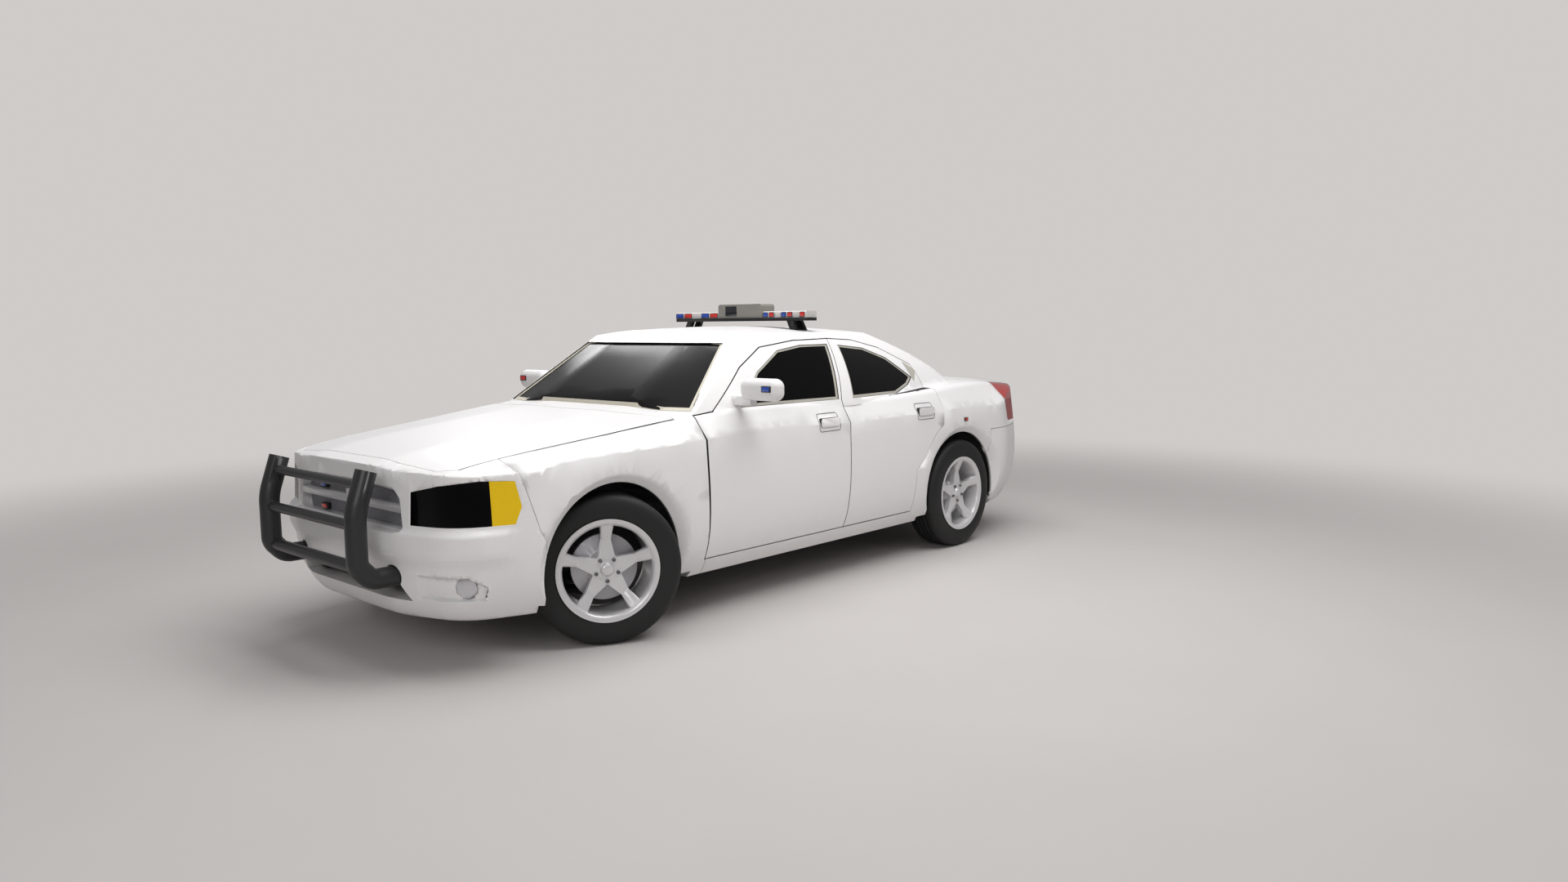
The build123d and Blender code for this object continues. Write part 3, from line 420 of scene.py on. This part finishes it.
# The mesh is lighter on its wires and darker between them: the darker tone is painted shade in the mesh's
# openings.
wire_and_gap_shade_tones = {0: mesh_edge.outputs[0], 6: hex_colour("#5A595E"), 7: hex_colour("#8E8D92")}
wire_and_gap_shade_mix = add_node(grey_mesh, "Mix", wire_and_gap_shade_tones, data_type="RGBA")
mesh_bump = add_node(grey_mesh, "Bump", {"Height": mesh_edge.outputs[0], "Distance": 2 * MM})
grey_mesh.node_tree.links.new(wire_and_gap_shade_mix.outputs[2], mesh_shader.inputs["Base Color"])
grey_mesh.node_tree.links.new(mesh_bump.outputs["Normal"], mesh_shader.inputs["Normal"])
grille_low, grille_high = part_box("grille")
MESH_SETBACK = 38 * MM
MESH_HALF = 0.47
FRAME_WIDE = 14 * MM


def grille_part(place, normal):
    """The mesh lies behind the bars and inside the frame."""
    inside = abs(place.x) < MESH_HALF and grille_low.z + FRAME_WIDE < place.z < grille_high.z - FRAME_WIDE
    return 1 if inside and place.y > grille_low.y + MESH_SETBACK else 0


finished("grille", silver_bar, grey_mesh, pick=grille_part)


def rounded_block(size, centre, bevel, segments=3):
    """A block with all its edges rounded, as a bmesh."""
    form = bmesh.new()
    bmesh.ops.create_cube(form, size=1.0)
    bmesh.ops.scale(form, vec=size, verts=form.verts)
    bmesh.ops.bevel(form, geom=form.edges[:], offset=bevel, segments=segments, profile=0.5, affect="EDGES",
                    material=-1)
    bmesh.ops.translate(form, vec=centre, verts=form.verts)
    return form


black_bezel = surface("black_moulded_bezel", "#141415", "#1B1B1C", 3, 0.03, Roughness=0.45)
blue_lens = surface("blue_polycarbonate", "#1F4FC0", "#183FA0", 10, 0.05, Roughness=0.1, IOR=1.58,
                    Coat_Weight=0.9, Coat_Roughness=0.03)
bright_red_lens = surface("bright_red_polycarbonate", "#E02A22", "#C81C16", 10, 0.05, Roughness=0.1, IOR=1.58,
                          Coat_Weight=0.9, Coat_Roughness=0.03)
GRILLE_LAMP = (64 * MM, 22 * MM, 30 * MM)
GRILLE_LENS = (48 * MM, 22 * MM, 20 * MM)
GRILLE_LAMP_X = -0.30
GRILLE_LAMP_Z = {"blue": 0.786, "red": 0.676}
GRILLE_LAMP_BACK = 30 * MM
GRILLE_LENS_PROUD = 4 * MM
LAMP_EDGE = 4 * MM
for colour, lens in (("blue", blue_lens), ("red", bright_red_lens)):
    place = Vector((GRILLE_LAMP_X, grille_low.y + GRILLE_LAMP_BACK, GRILLE_LAMP_Z[colour]))
    bezel_form = rounded_block(GRILLE_LAMP, place, LAMP_EDGE)
    new_piece(f"grille_lamp_{colour}_bezel", bezel_form, black_bezel, "root")
    lens_form = rounded_block(GRILLE_LENS, place - Vector((0, GRILLE_LENS_PROUD, 0)), LAMP_EDGE)
    new_piece(f"grille_lamp_{colour}_lens", lens_form, lens, "root")

# Push bumper
# Bent and welded steel tube, blasted and powder coated in charcoal, with the fine grain that the
# powder leaves.
powder_coat = surface("charcoal_powder_coat", "#1D1D1F", "#262628", 2.5, 0.05, Roughness=0.42,
                      Coat_Weight=0.15)
finished("push_bumper", powder_coat, crease_deg=40)

# Light bar
# An extruded black tray on folded steel feet carries a row of moulded polycarbonate modules. Each is pale on top,
# partly the clear modules' own colour and partly a painted reflection of the overhead light on the coloured ones,
# which show their lens in a dark bezel at the front and the back.
tray_plastic = surface("black_grained_polypropylene", "#101011", "#171718", 2.5, 0.06, Roughness=0.5)
# The pale lens colour is partly painted reflection of the overhead light on the tops of the coloured modules.
lens_with_top_reflection = surface("pale_polycarbonate_painted_top_reflection", "#D9D6D3", "#CCC9C6", 12, 0.05, Roughness=0.18, IOR=1.58,
                     Coat_Weight=0.8, Coat_Roughness=0.04, Subsurface_Weight=0.15)
grey_housing = surface("grey_painted_housing", "#8B8882", "#807D77", 4, 0.04, Roughness=0.5)
dark_window = surface("dark_acrylic_window", "#1A1D22", "#15171B", 20, 0.0, Roughness=0.08, Coat_Weight=0.8)
finished("light_bar_tray", tray_plastic)
finished("light_bar_lenses", lens_with_top_reflection)
finished("light_bar_box", grey_housing)
lens_low, lens_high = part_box("light_bar_lenses")
box_low, box_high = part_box("light_bar_box")
LENS_GAP = 4 * MM
MODULES = [(lens_low.x, box_low.x - LENS_GAP, "blue red clear blue red"),
           (box_high.x + LENS_GAP, lens_high.x + LENS_GAP, "blue red clear blue red clear red")]
WINDOW_MARGIN = 5 * MM
WINDOW_PROUD = 2 * MM
WINDOW_DEEP = 10 * MM
WINDOW_HIGH = 33 * MM
WINDOW_DROP = 3 * MM
WINDOW_RIM = Vector((8 * MM, 0, 7 * MM))
WINDOW_EDGE = 3 * MM
lens_of = {"blue": blue_lens, "red": bright_red_lens}
for start, end, colours in MODULES:
    words = colours.split()
    pitch = (end - start) / len(words)
    for i, colour in enumerate(words):
        if colour == "clear":
            continue
        centre_x = start + (i + 0.5) * pitch - LENS_GAP / 2
        place_word = f"{round(centre_x * 1000):+d}".replace("+", "l").replace("-", "r")
        for face_name, face_y, out in (("front", lens_low.y, -1), ("rear", lens_high.y, 1)):
            middle = Vector((centre_x, face_y, (lens_low.z + lens_high.z) / 2 - WINDOW_DROP))
            size = Vector((pitch - LENS_GAP - WINDOW_MARGIN, WINDOW_DEEP, WINDOW_HIGH))
            name = f"module_{colour}_{face_name}_{place_word}"
            bezel = middle + Vector((0, out * (WINDOW_PROUD - WINDOW_DEEP / 2), 0))
            bezel_form = rounded_block(size, bezel, WINDOW_EDGE, 2)
            new_piece(name + "_bezel", bezel_form, black_bezel, "root")
            lens_place = bezel + Vector((0, out * WINDOW_PROUD, 0))
            lens_form = rounded_block(size - WINDOW_RIM, lens_place, WINDOW_EDGE, 2)
            new_piece(name + "_lens", lens_form, lens_of[colour], "root")
BOX_WINDOW = (106 * MM, 12 * MM, 66 * MM)
BOX_WINDOW_IN = 118 * MM
BOX_WINDOW_BACK = 3 * MM
BOX_WINDOW_EDGE = 5 * MM
window_place = Vector((box_low.x + BOX_WINDOW_IN, box_low.y + BOX_WINDOW_BACK, (box_low.z + box_high.z) / 2))
window_form = rounded_block(BOX_WINDOW, window_place, BOX_WINDOW_EDGE)
new_piece("light_bar_box_window", window_form, dark_window, "root")

# Wheels
# Cast aluminium, machined and sprayed in silver white. The brake disc behind the spokes is turned
# grey iron with a bare ring, and the nuts are zinc-plated steel.
cast_wheel = surface("sprayed_cast_aluminium", "#DEDDDE", "#D5D4D6", 4, 0.03, Roughness=0.3, Metallic=0.25,
                     Coat_Weight=0.8, Coat_Roughness=0.08)
grey_iron = surface("turned_grey_iron", "#C4C3C6", "#AFAEB1", 2, 0.04, Roughness=0.35, Metallic=0.6)
plated_nut = surface("zinc_plated_steel", "#77777A", "#67676A", 2, 0.02, Roughness=0.3, Metallic=0.9)
DISC_BACK = 6 * MM
NUT_RING = 57 * MM
NUT_R = 12 * MM
NUT_FACE = 75 * MM
wheel_joints = {joint["child"]: joint for joint in frame["joints"] if joint.get("continuous")}


def wheel_part(joint, side):
    """Tells the wheel's casting, the disc and the nuts apart by their place about the axle."""
    centre = Vector(joint["pos_m"])
    out = Vector(joint["axis"]).normalized() * side

    def part(place, normal):
        reach = (place - centre).dot(out)
        spread = (place - centre - out * reach).length
        if reach < DISC_BACK and spread < 0.17:
            return 1
        return 2 if abs(spread - NUT_RING) < NUT_R and reach > NUT_FACE else 0

    return part


for word, side in SIDES.items():
    for end in ("front", "rear"):
        joint = wheel_joints[f"{end}_wheel_{word}"]
        finished(f"{end}_wheel_{word}", cast_wheel, grey_iron, plated_nut, pick=wheel_part(joint, side))

# Tyres
# Moulded black rubber, satin on the tread and duller on the sidewall, with raised rings on the wall
# and four grooves round the tread.
rubber = surface("moulded_tyre_rubber", "#0E0E0F", "#141414", 3, 0.12, Roughness=0.62)
dusted(rubber, "#2A2927", 0.8, 0.2)
TYRE_SECTION = [(-96, 236), (-104, 246), (-109, 262), (-111, 268), (-112, 276), (-114, 300), (-114, 318),
                (-111, 338), (-105, 354), (-96, 365), (-84, 371.5), (-70, 373.4), (-58, 374), (-56, 374),
                (-55, 367), (-48, 367), (-47, 374), (-19, 374), (-18, 367), (-11, 367), (-10, 374)]
TYRE_STEPS = 96


def tyre(name, joint, node):
    """A tyre spun from its section about the wheel's axle."""
    axis = Vector(joint["axis"]).normalized()
    section = TYRE_SECTION + [(-x, r) for x, r in reversed(TYRE_SECTION)]
    form = bmesh.new()
    ring = [form.verts.new((x * MM, 0, r * MM)) for x, r in section]
    edges = [form.edges.new(pair) for pair in zip(ring, ring[1:])]
    edges.append(form.edges.new((ring[-1], ring[0])))
    bmesh.ops.spin(form, geom=ring + edges, cent=(0, 0, 0), axis=(1, 0, 0), angle=math.tau, steps=TYRE_STEPS,
                   use_merge=True)
    bmesh.ops.remove_doubles(form, verts=form.verts, dist=MERGE_DISTANCE)
    bmesh.ops.recalc_face_normals(form, faces=form.faces)
    turn = Vector((1, 0, 0)).rotation_difference(axis).to_matrix().to_4x4()
    bmesh.ops.transform(form, matrix=Matrix.Translation(joint["pos_m"]) @ turn, verts=form.verts)
    piece = new_piece(name, form, rubber, joint["child"], crease_deg=45)
    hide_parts(node)
    return piece


for word in SIDES:
    for end in ("front", "rear"):
        tyre(f"{end}_tyre_finished_{word}", wheel_joints[f"{end}_wheel_{word}"], f"{end}_tyre_{word}")

# Mirrors and door fittings
# Moulded ABS sprayed with the body: the mirror shells, each with a small blue or red lamp in a black
# bezel and a flat silvered glass behind, and the pull handles in their dished plates.
mirror_glass = surface("silvered_mirror_glass", "#B9BCC0", "#B4B7BB", 40, 0.0, Roughness=0.03, Metallic=1.0)
MIRROR_LAMP = (66 * MM, 12 * MM, 34 * MM)
MIRROR_LENS = (54 * MM, 12 * MM, 23 * MM)
MIRROR_LAMP_IN = 62 * MM
MIRROR_LAMP_BACK = 2 * MM
MIRROR_LAMP_UP = 20 * MM
MIRROR_LENS_PROUD = 3 * MM
MIRROR_RIM = (196 * MM, 24 * MM, 84 * MM)
MIRROR_PANE = (182 * MM, 25 * MM, 70 * MM)
MIRROR_PANE_IN = 136 * MM
MIRROR_PANE_AHEAD = 11 * MM
MIRROR_PANE_DOWN = 60 * MM
for word, side in SIDES.items():
    finished(f"mirror_{word}", cover_paint)
    low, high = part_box(f"mirror_{word}")
    out_x = high.x if side > 0 else low.x
    body = f"front_door_{word}"
    lamp_z = (low.z + high.z) / 2 + MIRROR_LAMP_UP
    lamp_place = Vector((out_x - side * MIRROR_LAMP_IN, low.y + MIRROR_LAMP_BACK, lamp_z))
    new_piece(f"mirror_lamp_bezel_{word}", rounded_block(MIRROR_LAMP, lamp_place, 3 * MM), black_bezel, body)
    lens_form = rounded_block(MIRROR_LENS, lamp_place - Vector((0, MIRROR_LENS_PROUD, 0)), 3 * MM)
    lens = blue_lens if word == "left" else bright_red_lens
    new_piece(f"mirror_lamp_{word}", lens_form, lens, body)
    glass_x = out_x - side * MIRROR_PANE_IN
    glass_place = Vector((glass_x, high.y - MIRROR_PANE_AHEAD, high.z - MIRROR_PANE_DOWN))
    new_piece(f"mirror_glass_rim_{word}", rounded_block(MIRROR_RIM, glass_place, 8 * MM), black_bezel, body)
    new_piece(f"mirror_glass_{word}", rounded_block(MIRROR_PANE, glass_place, 2 * MM), mirror_glass, body)

# A small red lamp in a black bezel stands on each rear quarter.
MARKER = (16 * MM, 42 * MM, 26 * MM)
MARKER_Y = 3.07 + FRONT_AXLE_Y
MARKER_Z = 0.893
MARKER_LENS = (16 * MM, 28 * MM, 18 * MM)
MARKER_PROUD = 3 * MM
MARKER_EDGE = 4 * MM
BESIDE_X = 1.3


def on_side(node, side, y, z):
    """The point of a body panel's outer face at one station and height."""
    form = bmesh.new()
    form.from_mesh(frame["nodes"][node].data)
    tree = BVHTree.FromBMesh(form)
    form.free()
    return tree.ray_cast(Vector((side * BESIDE_X, y, z)), Vector((-side, 0, 0)))[0]


for word, side in SIDES.items():
    place = on_side(f"body_side_{word}", side, MARKER_Y, MARKER_Z)
    new_piece(f"quarter_marker_bezel_{word}", rounded_block(MARKER, place, MARKER_EDGE), black_bezel, "root")
    lens_form = rounded_block(MARKER_LENS, place + Vector((side * MARKER_PROUD, 0, 0)), MARKER_EDGE)
    new_piece(f"quarter_marker_{word}", lens_form, bright_red_lens, "root")

# A thin dark ring runs round the plate of each pull handle: painted shade of the groove round the plate.
HANDLE_Z = 0.98
HANDLES = {"front": 1.585, "rear": 2.590}
GASKET_HALF = (0.099, 0.054)
GASKET_X = 0.93
GASKET_CORNER = 20 * MM
GASKET_THICK = 3 * MM
GASKET_PROUD = 1 * MM
GASKET_WIDE = 3.5 * MM
# The ring's dark grey is painted shade of the groove round the handle plate.
groove_shade_ring = surface("dark_ring_painted_groove_shade", "#4A4A4B", "#3E3E3F", 3, 0.02, Roughness=0.7)
for word, side in SIDES.items():
    for end, y in HANDLES.items():
        outline = [(side * GASKET_X, y + FRONT_AXLE_Y + u * GASKET_HALF[0], HANDLE_Z + v * GASKET_HALF[1])
                   for u, v in ((-1, -1), (1, -1), (1, 1), (-1, 1))]
        plate_on(f"{end}_handle_groove_shade_{word}", f"{end}_door_{word}", (side, 0, 0), outline, GASKET_CORNER,
                 GASKET_THICK, GASKET_PROUD, groove_shade_ring, ring_width=GASKET_WIDE)

# Cabin
# The seats are moulded foam under woven cloth with sewn channels. The dashboard, the wheel and the
# column shroud are grained vinyl skins over a hard shell.
seat_cloth = surface("woven_polyester_cloth", "#26262A", "#1B1B1E", 2.5, 0.25, Roughness=0.95,
                     Sheen_Weight=0.4)
grained_vinyl = surface("grained_vinyl", "#242324", "#1B1A1B", 3, 0.15, Roughness=0.55)
finished("dashboard", grained_vinyl)
finished("steering_column", grained_vinyl)
finished("steering_wheel", grained_vinyl)
finished("b_pillars", door_trim)
PAD_CUTS = 15
PAD_ROUND = 0.75
CHANNEL_DEEP = 9 * MM
CHANNEL_WIDE = 0.06


def pad(name, size, place, lean_deg, crown, channels, body="root", replaced=None):
    """A crowned pad with sewn channels across its top, leaning about the car's width."""
    form = bmesh.new()
    bmesh.ops.create_cube(form, size=2.0)
    bmesh.ops.subdivide_edges(form, edges=form.edges[:], cuts=PAD_CUTS, use_grid_fill=True)
    half = Vector(size) / 2
    soft = PAD_ROUND * half.z
    for vertex in form.verts:
        u, v, w = vertex.co
        point = Vector((u * half.x, v * half.y, w * half.z))
        core = Vector([max(-h + soft, min(h - soft, p)) for p, h in zip(point, half)])
        reach = point - core
        if reach.length > soft:
            point = core + reach.normalized() * soft
        swell = (1 - u * u) * (1 - v * v)
        point.z += crown * swell * (1 if w > 0 else 0.2 * w)
        if w > 0:
            for channel in channels:
                point.z -= CHANNEL_DEEP * math.exp(-((u - channel) / CHANNEL_WIDE) ** 2) * (1 - v ** 4)
        vertex.co = point
    lean = Matrix.Translation(place) @ Matrix.Rotation(math.radians(lean_deg), 4, "X")
    bmesh.ops.transform(form, matrix=lean, verts=form.verts)
    bmesh.ops.recalc_face_normals(form, faces=form.faces)
    piece = new_piece(name, form, seat_cloth, body, crease_deg=80)
    if replaced:
        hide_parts(replaced)
    return piece


# Each pad: size, place, lean in degrees, crown, and its channels as shares of the half width.
seat_low, seat_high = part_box("front_seats")
SEAT_X = 0.365
CUSHION = (0.45, 0.53, 0.17)
BACKREST = (0.44, 0.62, 0.11)
HEADREST = (0.26, 0.15, 0.09)
for word, side in SIDES.items():
    seat_x = side * SEAT_X
    pad(f"front_cushion_{word}", CUSHION, (seat_x, seat_low.y + 0.27, seat_low.z + 0.16), 4, 0.018,
        (-0.55, 0.55), replaced="front_seats")
    pad(f"front_backrest_{word}", BACKREST, (seat_x, seat_high.y - 0.185, 0.845), 70, 0.018, (-0.55, 0, 0.55))
    pad(f"front_headrest_{word}", HEADREST, (seat_x, seat_high.y - 0.062, seat_high.z - 0.075), 76, 0.01, ())
bench_low, bench_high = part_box("rear_seat")
BENCH_CUSHION = (1.16, 0.50, 0.20)
BENCH_BACKREST = (1.16, 0.56, 0.12)
pad("rear_cushion", BENCH_CUSHION, (0, bench_low.y + 0.26, bench_low.z + 0.145), 4, 0.012, (-0.5, 0, 0.5),
    replaced="rear_seat")
pad("rear_backrest", BENCH_BACKREST, (0, bench_high.y - 0.11, 0.79), 72, 0.012, (-0.5, 0, 0.5))

# Underside
# Black stoved chassis paint on the steel floor and arms, grained polypropylene in the arches, a
# cast engine and a stainless exhaust.
floor_paint = surface("stoved_underseal", "#2A2A2B", "#202021", 6, 0.3, Roughness=0.8)
carpet = surface("tufted_nylon_carpet", "#1E1E20", "#141416", 3, 0.6, Roughness=1.0, Sheen_Weight=0.5)
chassis_paint = surface("black_chassis_paint", "#18181A", "#202022", 4, 0.08, Roughness=0.5)
liner_plastic = surface("grained_polypropylene_liner", "#232324", "#2C2C2D", 4, 0.15, Roughness=0.7)
cast_alloy = surface("sand_cast_aluminium", "#8C8B89", "#7A7977", 4, 0.2, Roughness=0.55, Metallic=0.8)
stainless = surface("stainless_steel_tube", "#9A9793", "#85827E", 5, 0.03, Roughness=0.3, Metallic=1.0)
finished("underbody", floor_paint, carpet, pick=lambda place, normal: 1 if normal.z > 0.3 else 0)
finished("arch_liners", liner_plastic)
finished("engine", cast_alloy)
finished("exhaust", stainless)
finished("front_subframe", chassis_paint)
finished("rear_axle", chassis_paint)
for word in SIDES:
    finished(f"front_knuckle_{word}", chassis_paint)

# Floor, light and camera
# A plain pale studio floor under one large soft lamp above, a weak key from the car's front left and a
# narrow lamp that the windscreen mirrors as a streak. The camera has the place and lens fitted to the photo.
floor_form = bmesh.new()
bmesh.ops.create_grid(floor_form, x_segments=1, y_segments=1, size=60)
floor_mesh = bpy.data.meshes.new("studio_floor")
floor_form.to_mesh(floor_mesh)
floor_form.free()
studio_floor = bpy.data.objects.new("studio_floor", floor_mesh)
scene.collection.objects.link(studio_floor)
floor_paint_pale = surface("pale_studio_floor", "#C4C0BE", "#BFBBB9", 900, 0.0, Roughness=0.9)
floor_mesh.materials.append(floor_paint_pale)

# The background is one pale tone: the world shows it to the camera and through glass, and the floor
# fades into it with distance, so that no horizon shows.
BACKGROUND = "#CFCBC9"
FADE_FROM = 3.4
FADE_TO = 9.0
floor_nodes = floor_paint_pale.node_tree
floor_shader = floor_nodes.nodes["Principled BSDF"]
floor_place = add_node(floor_paint_pale, "TexCoord")
reach = add_node(floor_paint_pale, "VectorMath", {0: floor_place.outputs["Object"]}, operation="LENGTH")
fade_range = {"Value": reach.outputs["Value"], "From Min": FADE_FROM, "From Max": FADE_TO}
fade = add_node(floor_paint_pale, "MapRange", fade_range, interpolation_type="SMOOTHSTEP")
seen = add_node(floor_paint_pale, "LightPath")
share = add_node(floor_paint_pale, "Math", {0: fade.outputs[0], 1: seen.outputs["Is Camera Ray"]},
                 operation="MULTIPLY")
tone = add_node(floor_paint_pale, "Emission", {"Color": hex_colour(BACKGROUND), "Strength": 1.0})
blend = add_node(floor_paint_pale, "MixShader", {0: share.outputs[0], 1: floor_shader.outputs[0],
                                                 2: tone.outputs[0]})
floor_nodes.links.new(blend.outputs[0], floor_nodes.nodes["Material Output"].inputs["Surface"])

world = bpy.data.worlds.new("studio")
world.use_nodes = True
scene.world = world
world_light = world.node_tree.nodes["Background"]
world_light.inputs["Color"].default_value = hex_colour("#E4E2E2")
world_light.inputs["Strength"].default_value = 0.36
backdrop = add_node(world, "Background", {"Color": hex_colour(BACKGROUND), "Strength": 1.0})
rays = add_node(world, "LightPath")
glassy = add_node(world, "Math", {0: rays.outputs["Is Camera Ray"], 1: rays.outputs["Is Transmission Ray"]},
                  operation="MAXIMUM")
tones = {0: glassy.outputs[0], 1: world_light.outputs[0], 2: backdrop.outputs[0]}
choice = add_node(world, "MixShader", tones)
world.node_tree.links.new(choice.outputs[0], world.node_tree.nodes["World Output"].inputs["Surface"])
# Columns: name, place, target, width and length, watts.
LAMPS = [
    ("overhead", (1.5, 0.0, 6.0), (0.0, -0.5, 0.0), (4.5, 7.0), 390),
    ("key", (5.0, -7.5, 4.0), (0.3, -0.8, 0.6), (3.5, 3.5), 130),
    ("streak", (-6.0, 1.8, 6.0), (0.0, -0.5, 1.2), (0.9, 4.5), 60),
]
for name, place, target, size, watts in LAMPS:
    lamp = bpy.data.lights.new(name, "AREA")
    lamp.shape = "RECTANGLE"
    lamp.size, lamp.size_y = size
    lamp.energy = watts
    stand = bpy.data.objects.new(name, lamp)
    stand.location = place
    stand.rotation_euler = (Vector(target) - Vector(place)).to_track_quat("-Z", "Y").to_euler()
    scene.collection.objects.link(stand)

CAMERA_PLACE = Vector((4.917, FRONT_AXLE_Y - 3.289, 1.558))
YAW = math.radians(41.82)
PITCH = math.radians(6.24)
ROLL = math.radians(-0.43)
LENS_MM = 24.44
ahead = Vector((-math.sin(YAW) * math.cos(PITCH), math.cos(YAW) * math.cos(PITCH), -math.sin(PITCH)))
level = ahead.cross(Vector((0, 0, 1))).normalized()
rise = level.cross(ahead)
right = math.cos(ROLL) * level + math.sin(ROLL) * rise
above = math.cos(ROLL) * rise - math.sin(ROLL) * level
camera = bpy.data.objects.new("camera", bpy.data.cameras.new("camera"))
camera.data.lens = LENS_MM
camera.data.sensor_width = 36
turn = Matrix((right, above, -ahead)).transposed().to_4x4()
camera.matrix_world = Matrix.Translation(CAMERA_PLACE) @ turn
scene.collection.objects.link(camera)
scene.camera = camera
scene.view_settings.view_transform = "Standard"
